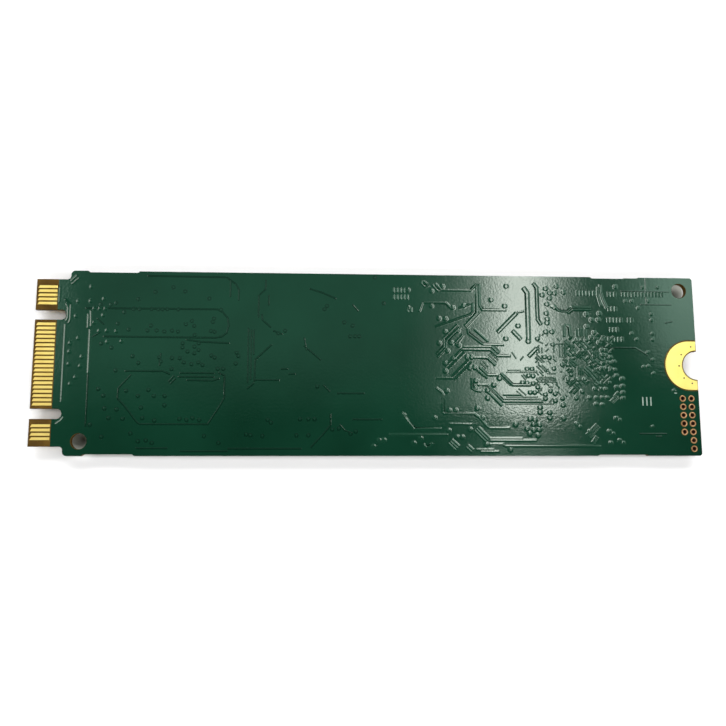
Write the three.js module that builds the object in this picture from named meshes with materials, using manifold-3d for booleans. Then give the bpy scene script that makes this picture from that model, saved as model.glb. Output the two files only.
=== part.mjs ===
// Solid state drive: a bare M.2 card, 80 mm long and 22 mm wide, with a B and M keyed edge connector.
// Millimetres. +X runs from the edge connector to the screw notch, +Y across the card, +Z up.
// The bare face is up. All packages hang under the card, so it rests on its product label at z = 0.
import * as THREE from 'three';
import { mergeVertices } from 'three/addons/utils/BufferGeometryUtils.js';
import Module from 'manifold-3d';

const wasm = await Module();
wasm.setup();

// ---- driving dimensions -------------------------------------------------------------------------

const CARD_LENGTH = 80;
const CARD_WIDTH = 22;
const LAMINATE_THICKNESS = 0.7;
const MASK_THICKNESS = 0.05;
const PLATING_THICKNESS = 0.04;
const LABEL_THICKNESS = 0.1;
const TALL_PACKAGE_HEIGHT = 1.2;

const TONGUE_WIDTH = 19.85;
const TONGUE_LENGTH = 4;
const SHOULDER_FILLET = 0.4;
const EAR_RADIUS = 0.5;
const END_CORNER_RADIUS = 0.35;

const NOTCH_WIDTH = 1.2;
const NOTCH_DEPTH = 3.7;
const B_NOTCH_Y = 5.625;
const M_NOTCH_Y = -6.125;

const SCREW_NOTCH_RADIUS = 1.75;
const SCREW_PAD_RADIUS = 3.05;
const SCREW_PAD_INSET = 0.95;
const SCREW_PAD_MARGIN = 0.1;

const CONTACT_PITCH = 0.5;
const CONTACT_WIDTH = 0.34;
const CONTACT_TIP_INSET = 0.25;
const CONTACT_END_INSET = 2.5;
const CONTACT_SLANT = 0.16;
const CONTACT_BAR = 0.1;
const MIDDLE_PIN = 38;

const TIP_BEVEL_LENGTH = 0.22;
const TIP_BEVEL_DEPTH = 0.16;

const TOOLING_HOLE_RADIUS = 0.92;
const TEST_HOLE_PITCH = 1.016;
const TEST_HOLE_DRILL = 0.27;
const TEST_BARREL_OUTER = 0.24;
const TEST_BARREL_INNER = 0.19;
const TEST_RING_RADIUS = 0.375;
const TEST_MASK_OPENING = 0.43;

// Shallow recesses left where the card was broken from its panel: each point is X, then depth.
const LOWER_EDGE_RECESSES = [
  [-33.9, 0], [-33.6, 0.2], [-28.05, 0.2], [-27.75, 0],
  [27.1, 0], [27.4, 0.13], [33.2, 0.13], [33.4, 0],
];
const UPPER_EDGE_RECESSES = [
  [33.2, 0], [33, 0.1], [31.35, 0.1], [31.2, 0.17], [27.3, 0.17], [27.05, 0],
  [-27.95, 0], [-28.15, 0.18], [-33.8, 0.18], [-34, 0],
];

// Packages: centre, then size along X and Y, then height off the mask.
const CONTROLLER = { x: 24.9, y: -0.2, sizeX: 12, sizeY: 12, height: 1.1 };
const BUFFER_MEMORY = { x: 10.4, y: 0.6, sizeX: 8, sizeY: 13.4, height: TALL_PACKAGE_HEIGHT };
const FLASH_MEMORY = { y: 0, sizeX: 14, sizeY: 18, height: TALL_PACKAGE_HEIGHT };
const FLASH_1_X = -5.2;
const FLASH_2_X = -21;
const POWER_MANAGER = { x: 33.6, y: -1.1, size: 4 };
const LOAD_SWITCH = { x: -33, y: 4.3, size: 3 };
const CRYSTAL_PLACE = [33.8, -8.8];
const INDUCTOR_PLACES = [[33.8, 8.3], [33.8, 4.3], [-32.7, 0.2]];
const BULK_CAPACITOR_PLACES = [[33.8, -5.3], [-32.6, -4.1], [-32.4, 8.2]];

// Two-terminal chip parts: X, Y, then quarter turns about the vertical.
const SIGNAL_CAPACITORS = [[-35.2, 2, 0], [-35.2, 1, 0], [-35.2, -0.5, 0], [-35.2, -1.5, 0]];
const BUFFER_CAPACITORS = [[16.6, -4.8, 1], [16.6, -1.6, 1], [16.6, 1.6, 1], [16.6, 4.8, 1]];
const FLASH_CAPACITORS = [[-24, -10.1, 0], [-18, -10.1, 0], [-8, -10.1, 0], [-2, -10.1, 0]];
const CONTROLLER_CAPACITORS = [[21.5, 7.6, 0], [25, 7.6, 0], [28.5, 7.6, 0]];
const FAR_SIDE_CAPACITORS = [[-10, 10, 0]];
const RESISTORS = [[21.5, -7.8, 0], [25, -7.8, 0], [28.5, -7.8, 0], [-30.2, -8.2, 1]];
const CHIP_LENGTH = 1.6;
const CHIP_WIDTH = 0.8;
const CAPACITOR_HEIGHT = 0.8;
const RESISTOR_HEIGHT = 0.45;

const ARC_STEPS = 6;
const BARREL_SIDES = 10;
const WELD_DISTANCE = 1e-5;

// ---- derived levels and places ------------------------------------------------------------------

const HALF_LENGTH = CARD_LENGTH / 2;
const HALF_WIDTH = CARD_WIDTH / 2;
const TIP_X = -HALF_LENGTH;
const END_X = HALF_LENGTH;
const SHOULDER_X = TIP_X + TONGUE_LENGTH;
const CONTACT_END_X = TIP_X + CONTACT_END_INSET;
const MASK_START_X = CONTACT_END_X + CONTACT_BAR;
const PAD_CENTRE_X = END_X - SCREW_PAD_INSET;

const MASK_LOW = LABEL_THICKNESS + TALL_PACKAGE_HEIGHT;
const LAMINATE_LOW = MASK_LOW + MASK_THICKNESS;
const LAMINATE_HIGH = LAMINATE_LOW + LAMINATE_THICKNESS;

const TOOLING_HOLES = [[-34.2, -9.3], [38.25, 9.35]];
const TEST_COLUMNS = [
  { x: 37.98, y: -4.06, count: 5 },
  { x: 39.06, y: -4.06, count: 7 },
];

// ---- materials ----------------------------------------------------------------------------------

const COLOURS = {
  laminate: { color: 0x6a4f2a, roughness: 0.65, metalness: 0 },
  mask: { color: 0x1c4734, roughness: 0.3, metalness: 0 },
  gold: { color: 0xf2cf73, roughness: 0.25, metalness: 1 },
  copper: { color: 0xb98a5c, roughness: 0.4, metalness: 1 },
  mould: { color: 0x1b1b1d, roughness: 0.6, metalness: 0 },
  ferrite: { color: 0x3a3a3c, roughness: 0.7, metalness: 0 },
  can: { color: 0xb9bbbd, roughness: 0.3, metalness: 1 },
  ceramic: { color: 0xa58a68, roughness: 0.55, metalness: 0 },
  polymer: { color: 0x2c2a29, roughness: 0.5, metalness: 0 },
  resistor: { color: 0x1f2226, roughness: 0.45, metalness: 0 },
  label: { color: 0xe9e9e6, roughness: 0.6, metalness: 0 },
};

const part = new THREE.Group();

function addMesh(name, geometry, look) {
  const mesh = new THREE.Mesh(geometry, new THREE.MeshStandardMaterial(COLOURS[look]));
  mesh.name = name;
  part.add(mesh);
  return mesh;
}

// ---- solid helpers ------------------------------------------------------------------------------

function toSolid(geometry) {
  const bare = geometry.index ? geometry.clone() : geometry;
  bare.deleteAttribute('normal');
  bare.deleteAttribute('uv');
  const merged = mergeVertices(bare, WELD_DISTANCE);
  return new wasm.Manifold(new wasm.Mesh({
    numProp: 3,
    vertProperties: new Float32Array(merged.attributes.position.array),
    triVerts: new Uint32Array(merged.index.array),
  }));
}

function toGeometry(solid) {
  const mesh = solid.getMesh();
  const geometry = new THREE.BufferGeometry();
  geometry.setAttribute('position', new THREE.BufferAttribute(mesh.vertProperties, 3));
  geometry.setIndex(new THREE.BufferAttribute(mesh.triVerts, 1));
  geometry.computeVertexNormals();
  return geometry;
}

function block(size, centre) {
  return new THREE.BoxGeometry(...size).translate(...centre);
}

function joinBlocks(blocks) {
  return toGeometry(blocks.map(toSolid).reduce((sum, next) => sum.add(next)));
}

function slab(shape, low, thickness) {
  const options = { depth: thickness, bevelEnabled: false, curveSegments: ARC_STEPS };
  return new THREE.ExtrudeGeometry(shape, options).translate(0, 0, low);
}

function roundHole(x, y, radius) {
  const hole = new THREE.Path();
  hole.absarc(x, y, radius, 0, 2 * Math.PI, true);
  return hole;
}

// ---- card outline -------------------------------------------------------------------------------

function traceLowerEdge(shape, leftX) {
  const tongue = -TONGUE_WIDTH / 2;
  const fillet = SHOULDER_FILLET;
  shape.moveTo(leftX, tongue);
  shape.absarc(SHOULDER_X - fillet, tongue - fillet, fillet, Math.PI / 2, 0, true);
  shape.absarc(SHOULDER_X + EAR_RADIUS, EAR_RADIUS - HALF_WIDTH, EAR_RADIUS, Math.PI, 1.5 * Math.PI, false);
  for (const [x, depth] of LOWER_EDGE_RECESSES) {
    shape.lineTo(x, depth - HALF_WIDTH);
  }
  const corner = END_CORNER_RADIUS;
  shape.absarc(END_X - corner, corner - HALF_WIDTH, corner, 1.5 * Math.PI, 2 * Math.PI, false);
}

function traceUpperEdge(shape, leftX) {
  const tongue = TONGUE_WIDTH / 2;
  const fillet = SHOULDER_FILLET;
  const corner = END_CORNER_RADIUS;
  shape.absarc(END_X - corner, HALF_WIDTH - corner, corner, 0, Math.PI / 2, false);
  for (const [x, depth] of UPPER_EDGE_RECESSES) {
    shape.lineTo(x, HALF_WIDTH - depth);
  }
  shape.absarc(SHOULDER_X + EAR_RADIUS, HALF_WIDTH - EAR_RADIUS, EAR_RADIUS, Math.PI / 2, Math.PI, false);
  shape.absarc(SHOULDER_X - fillet, tongue + fillet, fillet, 0, -Math.PI / 2, true);
  shape.lineTo(leftX, tongue);
}

function traceKeyNotch(shape, leftX, notchY) {
  const radius = NOTCH_WIDTH / 2;
  const centreX = TIP_X + NOTCH_DEPTH - radius;
  shape.lineTo(leftX, notchY + radius);
  shape.absarc(centreX, notchY, radius, Math.PI / 2, -Math.PI / 2, true);
  shape.lineTo(leftX, notchY - radius);
}

function traceScrewNotch(shape) {
  const radius = SCREW_NOTCH_RADIUS;
  shape.absarc(END_X, 0, radius, -Math.PI / 2, -Math.PI, true);
  shape.absarc(END_X, 0, radius, Math.PI, Math.PI / 2, true);
}

function traceMaskWindow(shape) {
  const radius = SCREW_PAD_RADIUS + SCREW_PAD_MARGIN;
  shape.lineTo(END_X, -radius);
  shape.absarc(PAD_CENTRE_X, 0, radius, -Math.PI / 2, -Math.PI, true);
  shape.absarc(PAD_CENTRE_X, 0, radius, Math.PI, Math.PI / 2, true);
  shape.lineTo(END_X, radius);
}

function cardShape(leftX, traceEnd, testHoleRadius) {
  const shape = new THREE.Shape();
  traceLowerEdge(shape, leftX);
  traceEnd(shape);
  traceUpperEdge(shape, leftX);
  traceKeyNotch(shape, leftX, B_NOTCH_Y);
  traceKeyNotch(shape, leftX, M_NOTCH_Y);
  shape.closePath();
  for (const [x, y] of TOOLING_HOLES) {
    shape.holes.push(roundHole(x, y, TOOLING_HOLE_RADIUS));
  }
  for (const [x, y] of testHoleCentres()) {
    shape.holes.push(roundHole(x, y, testHoleRadius));
  }
  return shape;
}

function testHoleCentres() {
  const centres = [];
  for (const column of TEST_COLUMNS) {
    for (let row = 0; row < column.count; row += 1) {
      centres.push([column.x, column.y - row * TEST_HOLE_PITCH]);
    }
  }
  return centres;
}

// ---- card: laminate and solder mask -------------------------------------------------------------

// A wedge that takes the sharp corner off the tongue's tip, on the upper or the lower face.
function tipWedge(faceZ, inward) {
  const wedge = new THREE.Shape();
  const spare = 0.2;
  wedge.moveTo(TIP_X - spare, faceZ - inward * spare);
  wedge.lineTo(TIP_X + TIP_BEVEL_LENGTH, faceZ - inward * spare);
  wedge.lineTo(TIP_X + TIP_BEVEL_LENGTH, faceZ);
  wedge.lineTo(TIP_X, faceZ + inward * TIP_BEVEL_DEPTH);
  wedge.lineTo(TIP_X - spare, faceZ + inward * TIP_BEVEL_DEPTH);
  wedge.closePath();
  const bar = new THREE.ExtrudeGeometry(wedge, { depth: CARD_WIDTH, bevelEnabled: false });
  return bar.rotateX(Math.PI / 2).translate(0, HALF_WIDTH, 0);
}

function makeLaminate() {
  const shape = cardShape(TIP_X, traceScrewNotch, TEST_HOLE_DRILL);
  const plain = toSolid(slab(shape, LAMINATE_LOW, LAMINATE_THICKNESS));
  const bevelled = plain
    .subtract(toSolid(tipWedge(LAMINATE_HIGH, -1)))
    .subtract(toSolid(tipWedge(LAMINATE_LOW, 1)));
  addMesh('pcb_laminate', toGeometry(bevelled), 'laminate');
}

function makeSolderMasks() {
  const shape = cardShape(MASK_START_X, traceMaskWindow, TEST_MASK_OPENING);
  addMesh('solder_mask_bare_side', slab(shape, LAMINATE_HIGH, MASK_THICKNESS), 'mask');
  addMesh('solder_mask_component_side', slab(shape, MASK_LOW, MASK_THICKNESS), 'mask');
}

// ---- gold and copper ----------------------------------------------------------------------------

// One row of contacts: fingers with slanted tips, joined at their inner ends by a thin bar.
function contactShape(firstPin, lastPin) {
  const halfWidth = CONTACT_WIDTH / 2;
  const tipX = TIP_X + CONTACT_TIP_INSET;
  const pinY = (pin) => (MIDDLE_PIN - pin) * CONTACT_PITCH / 2;
  const shape = new THREE.Shape();
  shape.moveTo(MASK_START_X, pinY(lastPin) - halfWidth);
  shape.lineTo(MASK_START_X, pinY(firstPin) + halfWidth);
  for (let pin = firstPin; pin <= lastPin; pin += 2) {
    shape.lineTo(CONTACT_END_X, pinY(pin) + halfWidth);
    shape.lineTo(tipX + CONTACT_SLANT, pinY(pin) + halfWidth);
    shape.lineTo(tipX, pinY(pin) - halfWidth);
    if (pin < lastPin) {
      shape.lineTo(CONTACT_END_X, pinY(pin) - halfWidth);
    }
  }
  shape.closePath();
  return shape;
}

function makeContacts() {
  const low = LAMINATE_LOW - PLATING_THICKNESS;
  const rows = [
    ['contacts_bare_b_end', 2, 10, LAMINATE_HIGH],
    ['contacts_bare_middle', 20, 58, LAMINATE_HIGH],
    ['contacts_bare_m_end', 68, 74, LAMINATE_HIGH],
    ['contacts_component_b_end', 1, 11, low],
    ['contacts_component_middle', 21, 57, low],
    ['contacts_component_m_end', 67, 75, low],
  ];
  for (const [name, firstPin, lastPin, level] of rows) {
    addMesh(name, slab(contactShape(firstPin, lastPin), level, PLATING_THICKNESS), 'gold');
  }
}

function screwPadShape() {
  const outer = SCREW_PAD_RADIUS;
  const inner = SCREW_NOTCH_RADIUS + SCREW_PAD_MARGIN;
  const edgeX = END_X - SCREW_PAD_MARGIN;
  const innerAngle = Math.acos(SCREW_PAD_MARGIN / inner);
  const shape = new THREE.Shape();
  shape.moveTo(edgeX, -inner * Math.sin(innerAngle));
  shape.absarc(END_X, 0, inner, Math.PI + innerAngle, Math.PI, true);
  shape.absarc(END_X, 0, inner, Math.PI, Math.PI - innerAngle, true);
  shape.lineTo(edgeX, outer);
  shape.absarc(PAD_CENTRE_X, 0, outer, Math.PI / 2, Math.PI, false);
  shape.absarc(PAD_CENTRE_X, 0, outer, Math.PI, 1.5 * Math.PI, false);
  shape.lineTo(edgeX, -outer);
  shape.closePath();
  return shape;
}

function makeScrewPads() {
  const shape = screwPadShape();
  const low = LAMINATE_LOW - PLATING_THICKNESS;
  addMesh('screw_pad_bare_side', slab(shape, LAMINATE_HIGH, PLATING_THICKNESS), 'gold');
  addMesh('screw_pad_component_side', slab(shape, low, PLATING_THICKNESS), 'gold');
}

// A rivet-shaped copper lining: a barrel through the laminate with a ring on each face.
function makeTestHoles() {
  const low = LAMINATE_LOW;
  const high = LAMINATE_HIGH;
  const profile = [
    [TEST_BARREL_INNER, low - PLATING_THICKNESS],
    [TEST_RING_RADIUS, low - PLATING_THICKNESS],
    [TEST_RING_RADIUS, low],
    [TEST_BARREL_OUTER, low],
    [TEST_BARREL_OUTER, high],
    [TEST_RING_RADIUS, high],
    [TEST_RING_RADIUS, high + PLATING_THICKNESS],
    [TEST_BARREL_INNER, high + PLATING_THICKNESS],
    [TEST_BARREL_INNER, low - PLATING_THICKNESS],
  ].map(([radius, z]) => new THREE.Vector2(radius, z));
  const lining = new THREE.LatheGeometry(profile, BARREL_SIDES).rotateX(Math.PI / 2);
  testHoleCentres().forEach(([x, y], index) => {
    const number = String(index + 1).padStart(2, '0');
    addMesh(`test_hole_lining_${number}`, lining.clone(), 'copper').position.set(x, y, 0);
  });
}

// ---- packages under the card --------------------------------------------------------------------

// A ball-grid package: mould cap, wider substrate, and the block that its solder balls fill.
function ballGridPackage(name, { x, y, sizeX, sizeY, height }) {
  const ballHeight = 0.22;
  const substrate = 0.26;
  const ballInset = 0.8;
  const capInset = 0.04;
  const lap = 0.02;
  const substrateLow = MASK_LOW - ballHeight - substrate;
  const capHeight = height - ballHeight - substrate + lap;
  const blocks = [
    block([sizeX - 2 * ballInset, sizeY - 2 * ballInset, ballHeight + lap],
      [0, 0, MASK_LOW - (ballHeight + lap) / 2]),
    block([sizeX, sizeY, substrate], [0, 0, substrateLow + substrate / 2]),
    block([sizeX - 2 * capInset, sizeY - 2 * capInset, capHeight],
      [0, 0, substrateLow + lap - capHeight / 2]),
  ];
  addMesh(name, joinBlocks(blocks), 'mould').position.set(x, y, 0);
}

function makeMemoryAndController() {
  ballGridPackage('controller_package', CONTROLLER);
  ballGridPackage('buffer_memory_package', BUFFER_MEMORY);
  ballGridPackage('flash_package_1', { x: FLASH_1_X, ...FLASH_MEMORY });
  ballGridPackage('flash_package_2', { x: FLASH_2_X, ...FLASH_MEMORY });
}

// A leadless chip: moulded body on a thinner foot where its side lands show.
function leadlessChip(name, { x, y, size }) {
  const height = 0.8;
  const footHeight = 0.2;
  const footSpread = 0.06;
  const footWidth = size - 0.8;
  const blocks = [
    block([size, size, height], [0, 0, MASK_LOW - height / 2]),
    block([size + 2 * footSpread, footWidth, footHeight], [0, 0, MASK_LOW - footHeight / 2]),
    block([footWidth, size + 2 * footSpread, footHeight], [0, 0, MASK_LOW - footHeight / 2]),
  ];
  addMesh(name, joinBlocks(blocks), 'mould').position.set(x, y, 0);
}

function makePowerChips() {
  leadlessChip('power_management_chip', POWER_MANAGER);
  leadlessChip('load_switch_chip', LOAD_SWITCH);
}

// A shielded power inductor: square core with two end terminals that wrap up its sides.
function makeInductors() {
  const size = 3;
  const height = 1.15;
  const terminalSpan = 3.16;
  const terminalWidth = 2;
  const terminalHeight = 0.7;
  INDUCTOR_PLACES.forEach(([x, y], index) => {
    const blocks = [
      block([size, size, height], [0, 0, MASK_LOW - height / 2]),
      block([terminalSpan, terminalWidth, terminalHeight], [0, 0, MASK_LOW - terminalHeight / 2]),
    ];
    addMesh(`power_inductor_${index + 1}`, joinBlocks(blocks), 'ferrite').position.set(x, y, 0);
  });
}

// A moulded bulk capacitor with a metal tab under each end.
function makeBulkCapacitors() {
  const length = 3.5;
  const width = 2.8;
  const height = 1.1;
  const tabSpan = 3.66;
  const tabWidth = 2.2;
  const tabHeight = 0.5;
  BULK_CAPACITOR_PLACES.forEach(([x, y], index) => {
    const blocks = [
      block([length, width, height], [0, 0, MASK_LOW - height / 2]),
      block([tabSpan, tabWidth, tabHeight], [0, 0, MASK_LOW - tabHeight / 2]),
    ];
    addMesh(`bulk_capacitor_${index + 1}`, joinBlocks(blocks), 'polymer').position.set(x, y, 0);
  });
}

// A crystal: ceramic tray with a slightly smaller metal lid.
function makeCrystal() {
  const length = 3.2;
  const width = 2.5;
  const trayHeight = 0.45;
  const height = 0.7;
  const lidInset = 0.15;
  const blocks = [
    block([length, width, trayHeight], [0, 0, MASK_LOW - trayHeight / 2]),
    block([length - 2 * lidInset, width - 2 * lidInset, height], [0, 0, MASK_LOW - height / 2]),
  ];
  addMesh('crystal_can', joinBlocks(blocks), 'can').position.set(...CRYSTAL_PLACE, 0);
}

// A two-terminal chip part: a body between two end caps that stand slightly proud of it.
function chipPartGeometry(height) {
  const length = CHIP_LENGTH;
  const width = CHIP_WIDTH;
  const cap = length * 0.22;
  const proud = 0.02;
  const blocks = [
    block([length - cap, width - 2 * proud, height - proud], [0, 0, MASK_LOW - (height - proud) / 2]),
    block([cap, width, height], [(cap - length) / 2, 0, MASK_LOW - height / 2]),
    block([cap, width, height], [(length - cap) / 2, 0, MASK_LOW - height / 2]),
  ];
  return joinBlocks(blocks);
}

function placeChipParts(prefix, look, geometry, places) {
  places.forEach(([x, y, quarterTurns], index) => {
    const number = String(index + 1).padStart(2, '0');
    const mesh = addMesh(`${prefix}_${number}`, geometry.clone(), look);
    mesh.position.set(x, y, 0);
    mesh.rotation.z = quarterTurns * Math.PI / 2;
  });
}

function makeChipParts() {
  placeChipParts('ceramic_capacitor', 'ceramic', chipPartGeometry(CAPACITOR_HEIGHT), [
    ...SIGNAL_CAPACITORS,
    ...BUFFER_CAPACITORS,
    ...FLASH_CAPACITORS,
    ...CONTROLLER_CAPACITORS,
    ...FAR_SIDE_CAPACITORS,
  ]);
  placeChipParts('chip_resistor', 'resistor', chipPartGeometry(RESISTOR_HEIGHT), RESISTORS);
}

// The paper label spans the flash and buffer memory packages, and the card stands on it.
function makeLabel() {
  const length = 43.2;
  const width = 18.6;
  const centreX = -6.8;
  const radius = 0.8;
  const shape = new THREE.Shape();
  const x = length / 2 - radius;
  const y = width / 2 - radius;
  shape.absarc(centreX + x, y, radius, 0, Math.PI / 2, false);
  shape.absarc(centreX - x, y, radius, Math.PI / 2, Math.PI, false);
  shape.absarc(centreX - x, -y, radius, Math.PI, 1.5 * Math.PI, false);
  shape.absarc(centreX + x, -y, radius, 1.5 * Math.PI, 2 * Math.PI, false);
  shape.closePath();
  addMesh('product_label', slab(shape, 0, LABEL_THICKNESS), 'label');
}

makeLaminate();
makeSolderMasks();
makeContacts();
makeScrewPads();
makeTestHoles();
makeMemoryAndController();
makePowerChips();
makeInductors();
makeBulkCapacitors();
makeCrystal();
makeChipParts();
makeLabel();

export default part;
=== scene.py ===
"""Solid state drive: a bare M.2 card lying with its bare face up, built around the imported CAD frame.

Lengths in the tables and helper calls are millimetres in the card's own frame: +X runs from the edge
connector to the screw notch, +Y towards the B key end, +Z out of the bare face. Meshes are in metres.
"""

import math
import random

import bmesh
import bpy
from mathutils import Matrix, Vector
from mathutils.geometry import tessellate_polygon


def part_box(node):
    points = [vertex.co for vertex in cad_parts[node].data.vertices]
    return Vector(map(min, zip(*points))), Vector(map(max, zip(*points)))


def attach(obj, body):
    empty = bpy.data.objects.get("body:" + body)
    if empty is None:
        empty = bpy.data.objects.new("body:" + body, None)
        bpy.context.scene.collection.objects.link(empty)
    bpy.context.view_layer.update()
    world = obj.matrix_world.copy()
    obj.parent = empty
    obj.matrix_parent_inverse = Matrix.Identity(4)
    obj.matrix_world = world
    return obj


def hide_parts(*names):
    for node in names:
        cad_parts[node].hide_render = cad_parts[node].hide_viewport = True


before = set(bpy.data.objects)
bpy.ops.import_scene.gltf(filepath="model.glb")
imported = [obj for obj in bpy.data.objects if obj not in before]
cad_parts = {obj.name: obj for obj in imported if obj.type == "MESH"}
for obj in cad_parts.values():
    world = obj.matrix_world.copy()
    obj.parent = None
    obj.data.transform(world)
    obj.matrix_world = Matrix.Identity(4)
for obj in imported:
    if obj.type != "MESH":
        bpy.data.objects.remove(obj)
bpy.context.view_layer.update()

MM = 0.001


def box_mm(node):
    """Lowest and highest corner of a CAD node, in millimetres."""
    low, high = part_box(node)
    return low / MM, high / MM


# ---- driving dimensions ----

CARD_LOW, CARD_HIGH = box_mm("pcb_laminate")
MASK_LOW, MASK_HIGH = box_mm("solder_mask_bare_side")
UNDER_LOW, UNDER_HIGH = box_mm("solder_mask_component_side")

TIP_X = CARD_LOW.x
END_X = CARD_HIGH.x
HALF_WIDTH = CARD_HIGH.y
SHOULDER_X = TIP_X + 4.0
BOARD_TOP = MASK_HIGH.z
BOARD_UNDER = UNDER_LOW.z

TONGUE_HALF = 9.925
SHOULDER_FILLET = 0.4
EAR_RADIUS = 0.5
END_CORNER = 0.35
NOTCH_RADIUS = 0.6
NOTCH_END_X = TIP_X + 3.7
NOTCH_CENTRES = (5.625, -6.125)
SCREW_RADIUS = 1.75
PAD_RADIUS = 3.05
PAD_CENTRE_X = END_X - 0.95
PAD_MARGIN = 0.1
TOOLING_RADIUS = 0.92
TOOLING_HOLES = ((-34.2, -9.3), (38.25, 9.35))
TEST_PITCH = 1.016
TEST_COLUMNS = ((37.98, -4.06, 5), (39.06, -4.06, 7))
TEST_DRILL = 0.28
TEST_WINDOW = 0.43
HOLE_MARGIN = 0.02

# Break-off recesses along each long edge, as x and depth, from the tongue to the screw notch.
LOWER_RECESSES = (
    (-33.9, 0), (-33.6, 0.2), (-28.05, 0.2), (-27.75, 0), (27.1, 0), (27.4, 0.13), (33.2, 0.13), (33.4, 0),
)
UPPER_RECESSES = (
    (-34.0, 0), (-33.8, 0.18), (-28.15, 0.18), (-27.95, 0),
    (27.05, 0), (27.3, 0.17), (31.2, 0.17), (31.35, 0.1), (33.0, 0.1), (33.2, 0),
)

# The mask over etched copper: its rise, the widths of its slopes, and how a slope climbs.
COPPER_RISE = 0.036
COPPER_SLOPE = 0.09
FAINT_SLOPE = 0.04
FAINT_RISE = 0.25
FINE_SLOPE = 0.036
FINE_RISE = 0.75
CROWDED_X = (13.0, 23.5)
OUTER_VIA_X = 31.0
VIA_SLOPE = 0.1
VIA_SIDES = 16
EDGE_SLOPE = 0.1
SLOPE_STEPS = ((2.3, -0.04), (1.35, 0.07), (1.0, 0.16), (0.5, 0.52), (0.1, 0.86), (-0.35, 0.95))
END_STEPS = ((0.5, 0.5), (1.0, -0.1))
FACE_UP = 1
FACE_DOWN = -1

# The places of a mask's materials in its piece's list.
FILM, RAISED, FAINT, PRINTED = range(4)


# ---- outlines ----


def arc(cx, cy, radius, start, end, step=7.5):
    """Points on a round stretch, from one angle to the other, in degrees."""
    count = max(2, round(abs(end - start) / step))
    angles = [math.radians(start + (end - start) * i / count) for i in range(count + 1)]
    return [(cx + radius * math.cos(a), cy + radius * math.sin(a)) for a in angles]


def circle(cx, cy, radius, count=24, turn=-1):
    """A closed ring of points: clockwise for a hole, anticlockwise with a turn of 1."""
    angles = [turn * 2 * math.pi * i / count for i in range(count)]
    return [(cx + radius * math.cos(a), cy + radius * math.sin(a)) for a in angles]


def rectangle(x0, y0, x1, y1):
    """An anticlockwise outline, from its lowest corner."""
    return [(x0, y0), (x1, y0), (x1, y1), (x0, y1)]


def rounded(corners, radius, steps=3):
    """Replaces each corner of an anticlockwise outline by a short curve."""
    points = []
    count = len(corners)
    for i in range(count):
        here = Vector(corners[i])
        back = (Vector(corners[i - 1]) - here).normalized() * radius
        ahead = (Vector(corners[(i + 1) % count]) - here).normalized() * radius
        for step in range(steps + 1):
            t = step / steps
            start = here + back * (1 - t)
            end = here + ahead * t
            points.append(tuple(start.lerp(end, t)))
    return points


def long_edge(left_x, recesses):
    """The lower long edge, from the tongue's corner to the far corner."""
    points = [(left_x, -TONGUE_HALF)]
    points += arc(SHOULDER_X - SHOULDER_FILLET, -TONGUE_HALF - SHOULDER_FILLET, SHOULDER_FILLET, 90, 0)
    points += arc(SHOULDER_X + EAR_RADIUS, EAR_RADIUS - HALF_WIDTH, EAR_RADIUS, 180, 270)
    points += [(x, depth - HALF_WIDTH) for x, depth in recesses]
    return points + arc(END_X - END_CORNER, END_CORNER - HALF_WIDTH, END_CORNER, 270, 360)


def key_notch(left_x, y):
    """A round-ended slot, cut into the connector's tip."""
    tip = arc(NOTCH_END_X - NOTCH_RADIUS, y, NOTCH_RADIUS, 90, -90)
    return [(left_x, y + NOTCH_RADIUS)] + tip + [(left_x, y - NOTCH_RADIUS)]


def screw_notch():
    return arc(END_X, 0, SCREW_RADIUS, 270, 90, 5)


def pad_window():
    radius = PAD_RADIUS + PAD_MARGIN
    return [(END_X, -radius)] + arc(PAD_CENTRE_X, 0, radius, 270, 90, 5) + [(END_X, radius)]


def card_outline(left_x, end_points):
    """The card's edge, anticlockwise from the tongue's lower corner. The upper edge is a mirrored one."""
    upper = [(x, -y) for x, y in reversed(long_edge(left_x, UPPER_RECESSES))]
    points = long_edge(left_x, LOWER_RECESSES) + end_points + upper
    for y in NOTCH_CENTRES:
        points += key_notch(left_x, y)
    return points


def test_holes():
    return [(x, top - row * TEST_PITCH) for x, top, count in TEST_COLUMNS for row in range(count)]


def card_holes(test_radius, tooling_radius):
    holes = [circle(x, y, tooling_radius, 40) for x, y in TOOLING_HOLES]
    return holes + [circle(x, y, test_radius) for x, y in test_holes()]


# ---- mesh helpers ----


def mitre(before, after):
    """The step to the left at a bend that puts both runs of a path one unit aside.

    It is held back at a sharp bend.
    """
    first, second = before.normalized(), after.normalized()
    left = Vector((-first.y, first.x))
    middle = Vector((-(first.y + second.y), first.x + second.x))
    if middle.length < 1e-6:
        middle = left.copy()
    middle.normalize()
    return middle / max(0.5, middle.dot(left))


def inset_ring(points, distance):
    """Moves a closed ring towards its left-hand side, which is where the material is."""
    spots = [Vector(point) for point in points]
    moved = []
    for i, here in enumerate(spots):
        after = spots[(i + 1) % len(spots)] - here
        moved.append(tuple(here + mitre(here - spots[i - 1], after) * distance))
    return moved


def without_doubles(points, gap=1e-4):
    """A closed ring without points that nearly coincide with the one before."""
    kept = [points[0]]
    for point in points[1:]:
        if (Vector(point) - Vector(kept[-1])).length > gap:
            kept.append(point)
    if (Vector(kept[0]) - Vector(kept[-1])).length < gap:
        kept.pop()
    return kept


def add_ring(bm, points, z):
    """Level points at one height."""
    return [bm.verts.new((x * MM, y * MM, z * MM)) for x, y in points]


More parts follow.
